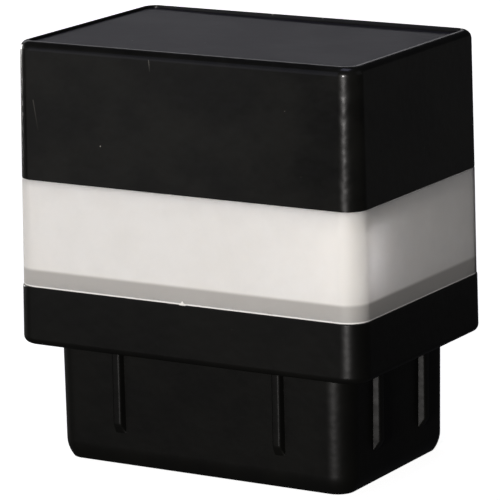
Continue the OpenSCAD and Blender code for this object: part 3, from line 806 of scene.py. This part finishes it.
def dress(
    piece: bpy.types.Object, finishes: Sequence[bpy.types.Material], body: Body, stands_for: str
) -> None:
    """Shade a piece, give it its finishes and tie it to the model.

    Args:
        piece: The finished piece.
        finishes: Its materials, in the order of its faces' indices.
        body: The body that it rides on.
        stands_for: The node that it replaces.
    """
    for finish in finishes:
        piece.data.materials.append(finish)
    piece.data.shade_smooth()
    piece.data.set_sharp_from_angle(angle=SHARP_ANGLE)
    # Keeps the flat faces flat next to their round edges
    modifier = piece.modifiers.new("flat_faces", "WEIGHTED_NORMAL")
    modifier.keep_sharp = True
    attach(piece, body.value)
    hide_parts(stands_for)
    LOG.info("%s: %d faces, rides on %s", piece.name, len(piece.data.polygons), body.value)


# ---------- Head ----------

# The seam of cap and band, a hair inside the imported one, as the photo shows it
HEAD_OUTLINE = Outline(31.86, 21.24, 3.5)


@dataclass(frozen=True)
class Cap:
    """The black cap: leaning walls, a round top edge, a rim round the panel's pocket, screw bosses inside.

    Attributes:
        outline: Outline at the cap's bottom.
        bottom_z: Height of its bottom edge.
        top_z: Height of its rim.
        lean: How far the walls lean in from bottom to top.
        edge_r: Radius of the top edge.
        rim_r: Radius of the rim's inner edge.
        foot_r: Radius of the bottom edge.
        wall: Thickness of the walls.
        pocket_in: Inset of the pocket at the rim.
        pocket_lean: How far the pocket's wall comes in below the rim.
        pocket_lean_h: Height over which it does.
        pocket_z: Height of its floor.
        ceiling_z: Height of the ceiling inside.
        groove: Insets and height of the gasket's groove.
        boss_x: Place of the bosses along X.
        boss_y: Place of the bosses along Y.
        boss_d: Diameter of a boss.
        boss_z: Height of a boss's lower end.
        web_t: Thickness of the web that ties a boss to the wall.
        web_z: Height of the web's lower end.
        pilot_z: Height where a screw's hole ends.
        lead_slot: Corners of the slot that the panel's leads go through.
    """

    outline: Outline = HEAD_OUTLINE
    bottom_z: float = SEAM_Z
    top_z: float = 50.25
    lean: float = 0.39
    edge_r: float = 1.45
    rim_r: float = 0.03
    foot_r: float = 0.15
    wall: float = HEAD_WALL
    pocket_in: float = 1.88
    pocket_lean: float = 0.165
    pocket_lean_h: float = 0.95
    pocket_z: float = level("panel_tape", 0)
    ceiling_z: float = 44.95
    groove: Place = (0.47, 1.27, 28.4)
    boss_x: float = 24.4
    boss_y: float = 11.6
    boss_d: float = 5.0
    boss_z: float = TRAY_Z
    web_t: float = 1.2
    web_z: float = 30.6
    pilot_z: float = 34.3
    lead_slot: tuple[float, float, float, float] = (-7.9, -10.95, -2.1, -8.75)

    def build(self) -> None:
        """Build and dress the cap."""
        groove_out, groove_in, groove_z = self.groove
        lean_inside = self.lean * (self.ceiling_z - self.bottom_z) / (self.top_z - self.bottom_z)
        piece = loft(
            "cap_moulding",
            self.outline.rings(
                softened(
                    [
                        (self.pocket_in + self.pocket_lean, self.pocket_z, 0),
                        (self.pocket_in + self.pocket_lean, self.top_z - self.pocket_lean_h, 0),
                        (self.pocket_in, self.top_z, self.rim_r),
                        (self.lean, self.top_z, self.edge_r),
                        (0, self.bottom_z, self.foot_r),
                        (groove_out, self.bottom_z, 0),
                        (groove_out, groove_z, 0),
                        (groove_in, groove_z, 0),
                        (groove_in, self.bottom_z, 0),
                        (self.wall, self.bottom_z, 0),
                        (self.wall + lean_inside, self.ceiling_z, 0),
                    ]
                )
            ),
        )
        boss_top = (self.ceiling_z + self.pocket_z) / 2
        wall_x = self.outline.half_x - self.wall
        webs = bmesh.new()
        for low_x, high_x in ((-wall_x, -self.boss_x), (self.boss_x, wall_x)):
            for y in (-self.boss_y, self.boss_y):
                low_y, high_y = y - self.web_t / 2, y + self.web_t / 2
                add_box(webs, (low_x, low_y, self.web_z), (high_x, high_y, boss_top))
        holes = four_rods(self.boss_x, self.boss_y, self.boss_z - CUT_CLEAR, self.pilot_z, PILOT_D)
        x0, y0, x1, y1 = self.lead_slot
        add_box(holes, (x0, y0, self.ceiling_z - CUT_CLEAR), (x1, y1, self.pocket_z + CUT_CLEAR))
        bosses = four_rods(self.boss_x, self.boss_y, self.boss_z, boss_top, self.boss_d)
        combine(piece, bosses, Join.ADD)
        combine(piece, webs, Join.ADD)
        combine(piece, holes, Join.CUT)
        dress(piece, [CAP_ABS.build()], Body.HEAD, "cap_shell")


@dataclass(frozen=True)
class PanelSheet:
    """Resin cast over the solar wafers, which climbs a little up the pocket's walls.

    Attributes:
        outline: Outline of the sheet.
        bottom_z: Height of its underside.
        top_z: Height of its face.
        edge_r: Radius of the resin's very edge.
        lip_h: How far the resin climbs up the pocket's wall.
        lip_w: Width of that climb.
        lip_r: Radius where it leaves the face.
        wafers_in: Inset of the room for the wafers and their links.
        wafers_z: Height of that room's ceiling.
        bow: How far the face rises at its left end.
        bow_x: Where that rise starts.
        bow_cuts: Number of cuts along the sheet that let it bend.
    """

    outline: Outline = Outline(29.8, 19.15, 1.31)
    bottom_z: float = level("panel_glazing", 0)
    top_z: float = 49.42
    edge_r: float = 0.05
    lip_h: float = 0.08
    lip_w: float = 0.7
    lip_r: float = 1.5
    wafers_in: float = 1.55
    wafers_z: float = 48.55
    bow: float = 0.32
    bow_x: float = 17.0
    bow_cuts: int = 16

    def build(self) -> None:
        """Build and dress the sheet."""
        piece = loft(
            "panel_resin_sheet",
            self.outline.rings(
                softened(
                    [
                        (self.wafers_in, self.wafers_z, 0),
                        (self.wafers_in, self.bottom_z, 0),
                        (0, self.bottom_z, 0),
                        (0, self.top_z + self.lip_h, self.edge_r),
                        (self.lip_w, self.top_z, self.lip_r),
                        (2 * self.lip_w, self.top_z, 0),
                    ]
                )
            ),
        )
        self.raise_left_end(piece)
        dress(piece, [WEATHERED_RESIN.build()], Body.HEAD, "panel_glazing")

    def raise_left_end(self, piece: bpy.types.Object) -> None:
        """Let the face rise towards its left end, as the photo shows.

        Args:
            piece: The sheet, whose mesh changes.
        """
        shape = bmesh.new()
        shape.from_mesh(piece.data)
        length = self.outline.half_x + self.bow_x
        for i in range(self.bow_cuts):
            x = (self.bow_x - length * (i + 0.5) / self.bow_cuts) * MM
            everything = [*shape.verts, *shape.edges, *shape.faces]
            bmesh.ops.bisect_plane(shape, geom=everything, plane_co=(x, 0, 0), plane_no=(1, 0, 0))
        for vertex in shape.verts:
            if vertex.co.z > (self.top_z - CLOSE) * MM and vertex.co.x < self.bow_x * MM:
                vertex.co.z += self.bow * ((self.bow_x - vertex.co.x / MM) / length) ** 2 * MM
        shape.to_mesh(piece.data)
        shape.free()


@dataclass(frozen=True)
class LightBand:
    """The frosted band: a square tube with a ledge inside its top and a torn gate mark at its foot.

    Attributes:
        outline: Outline at the top.
        foot_z: Height of the foot.
        top_z: Height of the top.
        flare: How far the foot stands out past the top.
        wall: Thickness of the wall.
        ledge_in: Inset of the ledge.
        ledge_z: Height of the ledge's underside.
        edge_r: Radius of the outer edges.
        gate_w: Width of the gate mark.
        gate_h: Its height.
        gate_out: How far it stands out.
    """

    outline: Outline = HEAD_OUTLINE
    foot_z: float = COLLAR_Z
    top_z: float = SEAM_Z
    flare: float = 0.23
    wall: float = HEAD_WALL
    ledge_in: float = 3.47
    ledge_z: float = TRAY_Z
    edge_r: float = 0.2
    gate_w: float = 1.1
    gate_h: float = 0.715
    gate_out: float = 0.12

    def build(self) -> None:
        """Build and dress the band."""
        lean = self.flare / (self.top_z - self.foot_z)
        piece = loft(
            "frosted_light_band",
            self.outline.rings(
                softened(
                    [
                        (-self.flare, self.foot_z, self.edge_r),
                        (0, self.top_z, self.edge_r),
                        (self.ledge_in, self.top_z, 0),
                        (self.ledge_in, self.ledge_z, 0),
                        (self.wall - lean * (self.top_z - self.ledge_z), self.ledge_z, 0),
                        (self.wall - self.flare, self.foot_z, 0),
                    ],
                    closed=True,
                )
            ),
            closed=True,
        )
        front = self.outline.half_y + self.flare
        gate = bmesh.new()
        wedge = [(-self.gate_w / 2, 0), (self.gate_w / 2, 0), (0, self.gate_h)]
        # Half of the wedge's depth is sunk into the wall
        add_bar(gate, wedge, 2 * self.gate_out, Matrix.Translation((0, -front, self.foot_z)))
        combine(piece, gate, Join.ADD)
        proud = [p for p in piece.data.polygons if p.center.y < -(front + CLOSE) * MM]
        for face in proud:
            face.material_index = 1
        dress(piece, [FROSTED_PP.build(), TORN_PP.build()], Body.HEAD, "diffuser")


# ---------- Base ----------


@dataclass(frozen=True)
class Base:
    """The black base: collar, ribbed plug and the rim that the band slips over.

    Attributes:
        collar: Outline of the collar.
        plug: Outline of the plug at its top.
        collar_h: Height of the collar.
        collar_lean: How far its walls lean in at the top.
        collar_edge_r: Radius of its bottom edge.
        collar_top_r: Radius of its top edge.
        collar_floor: Thickness of the floor round the plug's opening.
        groove: Insets and height of the gasket's groove.
        rim: Insets of the rim's outer and inner wall, and its height.
        rim_r: Radius of its top edges.
        step_in: Inset of the opening under the floor plate.
        plug_h: Height of the plug.
        plug_lean: How far its walls lean in.
        plug_wall: Thickness of its walls and floor.
        lead_h: Height of the curved lead-in.
        lead_in: How far that curve goes in.
        lead_steps: Steps along it.
        pit: Radius and depth of the gate's pit.
        rib_w: Width of a crush rib.
        rib_out: How far it stands out.
        rib_l: Length of its crest.
        rib_ramp: Height of the ramp at its lower end.
        rib_r: Radius of its edges.
        rib_draft: How much each flank draws in for each millimetre that the rib stands out.
        rib_x: Place of the ribs on the long walls.
        rib_y: Place of the ribs on the short walls.
        boss_x: Place of the bosses along X.
        boss_y: Place of the bosses along Y.
        boss_d: Diameter of a boss.
        pilot_z: Height where a screw's hole ends.
    """

    collar: Outline = Outline(32.33, 21.68, 3.83)
    plug: Outline = Outline(27.5, 17.4, 4)
    collar_h: float = COLLAR_Z
    collar_lean: float = 0.15
    collar_edge_r: float = 1.2
    collar_top_r: float = 0.2
    collar_floor: float = 2.0
    groove: Place = (0.6, 1.6, 9.0)
    rim: Place = (2.4, 4.0, level("base_housing", 1))
    rim_r: float = 0.15
    step_in: float = 5.2
    plug_h: float = -PLUG_Z
    plug_lean: float = 0.15
    plug_wall: float = 2.0
    lead_h: float = 3.2
    lead_in: float = 1.1
    lead_steps: int = 8
    pit: tuple[float, float] = (4.0, 0.5)
    rib_w: float = 2.5
    rib_out: float = 1.05
    rib_l: float = 12.6
    rib_ramp: float = 1.8
    rib_r: float = 0.35
    rib_draft: float = 0.25
    rib_x: float = 15.0
    rib_y: float = 7.7
    boss_x: float = 23.0
    boss_y: float = 12.9
    boss_d: float = 6.0
    pilot_z: float = 1.7

    def plug_profile(self) -> list[tuple[float, float]]:
        """Make the plug's outside from its bottom edge to the collar.

        Returns:
            Inset and height of each point.
        """
        curve_r = (self.lead_h**2 + self.lead_in**2) / (2 * self.lead_in)
        points = []
        for step in range(self.lead_steps + 1):
            below = self.lead_h * (1 - step / self.lead_steps)
            curve_in = curve_r - math.sqrt(curve_r**2 - below**2)
            points.append((self.plug_lean + curve_in, -self.plug_h + self.lead_h - below))
        return [*points, (0, 0)]

    def build(self) -> None:
        """Build and dress the base."""
        pit_r, pit_h = self.pit
        groove_out, groove_in, groove_z = self.groove
        rim_out, rim_in, rim_z = self.rim
        # The first point only shows which way the collar's underside runs, so that its edge can be rounded
        _, *outside = softened(
            [
                (2 * self.collar_edge_r, 0, 0),
                (0, 0, self.collar_edge_r),
                (self.collar_lean, self.collar_h, self.collar_top_r),
                (groove_out, self.collar_h, 0),
                (groove_out, groove_z, 0),
                (groove_in, groove_z, 0),
                (groove_in, self.collar_h, 0),
                (rim_out, self.collar_h, 0),
                (rim_out, rim_z, self.rim_r),
                (rim_in, rim_z, self.rim_r),
                (rim_in, self.collar_h, 0),
                (self.step_in, self.collar_h, 0),
                (self.step_in, self.collar_floor, 0),
            ]
        )
        rings = [
            circle_ring(pit_r, -self.plug_h + pit_h),
            circle_ring(pit_r, -self.plug_h),
            *self.plug.rings(self.plug_profile()),
            *self.collar.rings(outside),
            *self.plug.rings(
                [(self.plug_wall, self.collar_floor), (self.plug_wall, self.plug_wall - self.plug_h)]
            ),
        ]
        piece = loft("base_moulding", rings)
        combine(piece, self.ribs(), Join.ADD)
        boss_foot = self.plug_wall / 2 - self.plug_h
        bosses = four_rods(self.boss_x, self.boss_y, boss_foot, self.collar_h, self.boss_d)
        holes = four_rods(self.boss_x, self.boss_y, self.pilot_z, self.collar_h + CUT_CLEAR, PILOT_D)
        combine(piece, bosses, Join.ADD)
        combine(piece, holes, Join.CUT)
        dress(piece, [BASE_ABS.build()], Body.BASE, "base_housing")

    def ribs(self) -> bmesh.types.BMesh:
        """Make the eight crush ribs, two on each wall.

        Returns:
            The ribs as one tool shape.
        """
        shape = bmesh.new()
        places = [(self.rib_x, self.plug.half_y, 90), (self.rib_y, self.plug.half_x, 0)]
        for along, wall, angle in places:
            section = [
                (wall - self.plug_wall / 2, self.collar_floor / 2),
                (wall + self.rib_out, self.collar_floor / 2),
                (wall + self.rib_out, -self.rib_l),
                (wall - self.plug_lean, -self.rib_l - self.rib_ramp),
                (wall - self.plug_wall / 2, -self.rib_l - self.rib_ramp),
            ]
            for half_turn in (0, 180):
                turn = Matrix.Rotation(math.radians(angle + half_turn), 4, "Z")
                for side in (-1, 1):
                    spot = turn @ Matrix.Translation((0, side * along, 0))
                    add_bar(shape, section, self.rib_w, spot, self.rib_r, self.rib_draft)
        return shape


# ---------- Pieces inside ----------


def interior_finishes() -> dict[str, Finish]:
    """Make the table of the inner pieces' finishes.

    Returns:
        Finish of each node.
    """
    # ABS from a fine satin mould: opaque white with a soft sheen
    white = Finish("white_moulded_abs", "#f1f1ec", "#ebeae3", 0.42, patch_mm=14, ior=1.54)
    # Steel drawn or stamped and then tinned: bright, with a fine grain along its length
    tinned = Finish(
        "tinned_stamped_steel", "#c3c4c2", "#b4b5b4", 0.3, metallic=1, stretch=(8, 1, 1), grain_deep_mm=0.002
    )
    # Passivated stainless steel: a little greyer and finer in grain than the tin
    steel = Finish("passivated_stainless_steel", "#c6c7c6", "#b8b9b9", 0.32, metallic=1, grain_mm=0.2)
    # Green mask over woven glass: glossy, with the threads showing faintly
    board = WovenLaminate("green_masked_glass_laminate", "#1d5b33", "#194f2c", 0.3, coat=0.3)
    # Silicone rubber: dull, slightly dusty
    silicone = Finish("dark_moulded_silicone", "#333332", "#3c3c3a", 0.75, ior=1.41)
    # Extruded PVC: soft gloss, drawn lines along the lead
    pvc = Finish("red_extruded_pvc", "#a02622", "#8e201d", 0.35, stretch=(1, 1, 6), ior=1.53)
    return {
        # Closed-cell foam: matt black with small cells
        "panel_tape": CellFoam("black_closed_cell_foam", "#262626", "#2e2e2d", 0.9),
        # Dark mask over woven glass: duller than the green, with the threads showing
        "panel_backing": WovenLaminate("dark_masked_glass_laminate", "#1d2129", "#232833", 0.38, coat=0.2),
        # Polished silicon under a blue-violet coating
        "solar_wafers": Finish("coated_polished_silicon", "#23222e", "#1d1d33", 0.18, coat=0.4, ior=2.0),
        # Tinned ribbon: bright, drawn along Y
        "wafer_links": replace(tinned, name="tinned_copper_ribbon", stretch=(1, 8, 1)),
        "cap_gasket": silicone,
        "base_gasket": silicone,
        "light_tray": white,
        "battery_cover": white,
        "floor_plate": white,
        # Nickel plate on drawn steel: warm and bright, with drawn lines along the cell
        "cell_can": Finish(
            "nickel_plated_drawn_steel", "#c0bfba", "#b1afa9", 0.24, metallic=1, stretch=(8, 1, 1)
        ),
        # Film shrunk tight: high gloss with a faint orange peel
        "cell_sleeve": Finish("green_shrunk_pvc_film", "#1f6a3d", "#1b5f36", 0.2, coat=0.5, grain_mm=1.2),
        # Pressed fibre card: pale and matt, with a felted surface
        "cell_washer": CellFoam(
            "pressed_fibre_card", "#dedcd2", "#d1cfc4", 0.85, cell_mm=0.25, cell_deep_mm=0.02
        ),
        "positive_contact": tinned,
        "negative_contact": tinned,
        # Tinned wire: bright, with no one direction in its grain once it is wound
        "negative_spring": replace(tinned, name="tinned_spring_wire", stretch=(1, 1, 1), grain_mm=0.15),
        "control_board": board,
        "rear_led_board": board,
        # Epoxy cast in a polished mould: clear and a little yellow
        "leds": Finish(
            "cast_clear_epoxy", "#f7f3d9", "#f2edcb", 0.12, ior=1.54, clear=0.8, grain_deep_mm=0.001
        ),
        # Filled epoxy moulded over the chip: dark grey and dull
        "charge_chip": Finish("moulded_chip_epoxy", "#1c1c1d", "#242424", 0.6, grain_mm=0.12),
        # Lacquer dipped over the winding: glossy, with runs
        "boost_coil": Finish("green_dipped_lacquer", "#41724f", "#376444", 0.22, coat=0.6, grain_mm=0.8),
        # The same over ceramic: glossy ochre
        "smoothing_capacitor": Finish(
            "brown_dipped_ceramic", "#bf7d28", "#b06f22", 0.25, coat=0.4, grain_mm=0.9
        ),
        # Phenolic paper: brown, with fibres along its length
        "switch_base": Finish("pressed_phenolic_paper", "#4a3626", "#3e2d20", 0.5, stretch=(4, 1, 1)),
        "switch_cover": tinned,
        # ABS from a polished mould: black with a clear sheen
        "switch_knob": Finish("black_polished_moulded_abs", "#161616", "#1d1d1c", 0.3),
        "panel_leads": pvc,
        "battery_leads": pvc,
        "link_leads": replace(pvc, name="black_extruded_pvc", colour="#1e1e1e", tint="#272726"),
        "tray_screws": steel,
        "plate_screws": steel,
    }


@dataclass(frozen=True)
class Interior:
    """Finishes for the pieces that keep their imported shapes.

    Attributes:
        by_node: Finish of each node.
    """

    by_node: dict[str, Finish] = field(default_factory=interior_finishes)

    def build(self) -> None:
        """Dress every piece inside."""
        made: dict[str, bpy.types.Material] = {}
        for node, finish in self.by_node.items():
            if finish.name not in made:
                made[finish.name] = finish.build()
            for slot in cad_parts[node].material_slots:
                slot.material = made[finish.name]
            LOG.info("%s: %s", node, finish.name)


# ---------- Studio ----------


@dataclass(frozen=True)
class FlatLight:
    """A flat rectangular light.

    Attributes:
        name: Name of the light.
        width: Width in metres.
        height: Height in metres.
        power: Power in watts.
        colour: Colour of the light, sRGB.
    """

    name: str
    width: float
    height: float
    power: float
    colour: str

    def build(self, place: Vector, turn: Euler) -> bpy.types.Object:
        """Set the light up.

        Args:
            place: Its middle, in metres.
            turn: Its rotation.

        Returns:
            The light.
        """
        data = bpy.data.lights.new(self.name, "AREA")
        data.shape = "RECTANGLE"
        data.size = self.width
        data.size_y = self.height
        data.energy = self.power
        data.color = linear(self.colour)[:3]
        light = bpy.data.objects.new(self.name, data)
        light.location = place
        light.rotation_euler = turn
        bpy.context.scene.collection.objects.link(light)
        return light


@dataclass(frozen=True)
class SoftBox:
    """A soft light that points at the object.

    Attributes:
        azimuth: Degrees round from the object's front, towards its right.
        elevation: Degrees above its middle.
        distance: Distance in metres.
        lamp: The light itself.
    """

    azimuth: float
    elevation: float
    distance: float
    lamp: FlatLight

    def build(self, target: Vector) -> None:
        """Set the light up.

        Args:
            target: What it points at, in metres.
        """
        around = math.radians(self.azimuth)
        above = math.radians(self.elevation)
        away = Vector(
            (math.sin(around) * math.cos(above), -math.cos(around) * math.cos(above), math.sin(above))
        )
        self.lamp.build(target + away * self.distance, away.to_track_quat("Z", "Y").to_euler())


@dataclass(frozen=True)
class Glow:
    """Light inside the band's chamber, which a real wall would scatter there.

    Attributes:
        place: Middle of the glow.
        azimuth: Degrees round from the back, towards the left, of the way that it faces.
        spread: Angle that its light fans out over.
        lamp: The light itself.
    """

    place: Place
    azimuth: float
    spread: float
    lamp: FlatLight

    def build(self, carrier: bpy.types.Object) -> None:
        """Set the glow up.

        Args:
            carrier: The piece that it moves with.
        """
        turn = Euler((math.pi / 2, 0, math.radians(self.azimuth)))
        light = self.lamp.build(Vector(self.place) * MM, turn)
        light.data.spread = math.radians(self.spread)
        light.visible_camera = False
        light.parent = carrier


@dataclass(frozen=True)
class Studio:
    """Pale floor, soft lights and the camera at the photo's viewing angle.

    Attributes:
        target: What the lights point at, in millimetres.
        floor_z: Height of the floor.
        floor_half: Half the floor's side, in metres.
        floor_colours: The two colours that its paint drifts between, sRGB.
        floor_patch_mm: Size of the patches of that drift.
        floor_roughness: Roughness of the paint.
        floor_white: Light that the floor gives off, so that it stays white in the picture.
        camera_place: Place of the camera.
        camera_turn: Its turn about X, Y and Z, in degrees.
        lens: Focal length on a picture as wide as the sensor.
        sensor: Width of that sensor.
        near: Nearest distance that the camera sees, in metres.
        ambient: Strength of the light from all round.
        ambient_colour: Its colour, sRGB.
        glows: The glows inside the band.
        glow_carrier: The piece that they move with.
        boxes: The soft lights.
    """

    target: Place = (0.0, 0.0, 15.0)
    floor_z: float = PLUG_Z
    floor_half: float = 2.5
    floor_colours: tuple[str, str] = ("#f4f4f2", "#efefee")
    floor_patch_mm: float = 60.0
    floor_roughness: float = 0.9
    floor_white: float = 0.88
    camera_place: Place = (312.862, -529.139, 154.544)
    camera_turn: Place = (77.1578, 1.0749, 30.3503)
    lens: float = 276.942
    sensor: float = 36.0
    near: float = 0.01
    ambient: float = 0.0215
    ambient_colour: str = "#f6f6ff"
    glows: tuple[Glow, ...] = (
        Glow((26.5, -18, 19.8), -36, 120, FlatLight("front_corner_glow", 0.005, 0.0126, 0.00078, "#eef0ff")),
        Glow((6, 0, 19.8), -90, 130, FlatLight("right_wall_glow", 0.009, 0.012, 0.0006, "#eef0ff")),
    )
    glow_carrier: str = "frosted_light_band"
    boxes: tuple[SoftBox, ...] = (
        SoftBox(12, 4.5, 1.0, FlatLight("front_key", 0.16, 0.2, 8.9, "#fffbf9")),
        SoftBox(-44, 2, 0.7, FlatLight("left_card", 0.4, 0.4, 0.15, "#fffdfa")),
        SoftBox(-31, 20, 1.0, FlatLight("left_strip", 0.25, 0.85, 0.26, "#dde0ff")),
        SoftBox(0, 88, 1.0, FlatLight("overhead", 0.5, 0.5, 1.3, "#dcdcff")),
        SoftBox(112, 25, 1.0, FlatLight("right_fill", 0.6, 0.6, 0.15, "#fbfbff")),
        SoftBox(150, 2, 0.8, FlatLight("side_card", 0.4, 0.4, 0.022, "#fffdfa")),
        SoftBox(221, 24, 1.0, FlatLight("back_strip", 0.75, 0.24, 0.53, "#f2f1f6")),
        SoftBox(252, 3, 1.0, FlatLight("left_rear_card", 0.3, 0.3, 6.0, "#fffdfa")),
    )

    def build(self) -> None:
        """Set up floor, room, lights and camera."""
        self.build_floor()
        self.build_room()
        for box in self.boxes:
            box.build(Vector(self.target) * MM)
        for glow in self.glows:
            glow.build(bpy.data.objects[self.glow_carrier])
        self.build_camera()

    def build_camera(self) -> None:
        """Place the camera at the photo's viewing angle."""
        data = bpy.data.cameras.new("camera")
        data.lens = self.lens
        data.sensor_width = self.sensor
        data.clip_start = self.near
        camera = bpy.data.objects.new("camera", data)
        camera.location = Vector(self.camera_place) * MM
        camera.rotation_euler = [math.radians(a) for a in self.camera_turn]
        bpy.context.scene.collection.objects.link(camera)
        bpy.context.scene.camera = camera
        bpy.context.scene.view_settings.view_transform = "Standard"

    def build_floor(self) -> None:
        """Lay the floor, which lights nothing and shows in no reflection."""
        half = self.floor_half
        corners = ((-half, -half), (half, -half), (half, half), (-half, half))
        shape = bmesh.new()
        shape.faces.new([shape.verts.new((x, y, self.floor_z * MM)) for x, y in corners])
        floor = as_piece("studio_floor", shape)
        # Matt paint on a board: white, with hardly a drift in its colour
        material = bpy.data.materials.new("pale_painted_floor")
        material.use_nodes = True
        tree = material.node_tree
        place = add_node(tree, "TexCoord").outputs["Object"]
        noise = add_node(tree, "TexNoise", sized(place, self.floor_patch_mm)).outputs["Fac"]
        first, second = (linear(c) for c in self.floor_colours)
        paint = add_node(tree, "Mix", {0: noise, 6: first, 7: second}, data_type="RGBA").outputs[2]
        sockets = tree.nodes["Principled BSDF"].inputs
        tree.links.new(paint, sockets["Base Color"])
        sockets["Roughness"].default_value = self.floor_roughness
        sockets["Emission Color"].default_value = linear("#ffffff")
        sockets["Emission Strength"].default_value = self.floor_white
        floor.data.materials.append(material)
        floor.visible_diffuse = False
        floor.visible_glossy = False

    def build_room(self) -> None:
        """Light the room evenly and faintly."""
        world = bpy.data.worlds.new("studio")
        world.use_nodes = True
        background = world.node_tree.nodes["Background"]
        background.inputs["Color"].default_value = linear(self.ambient_colour)
        background.inputs["Strength"].default_value = self.ambient
        bpy.context.scene.world = world


def main() -> None:
    """Build every assembly."""
    for assembly in (Cap(), PanelSheet(), LightBand(), Base(), Interior(), Studio()):
        assembly.build()
        LOG.info("%s is done", type(assembly).__name__)


if __name__ == "__main__":
    main()
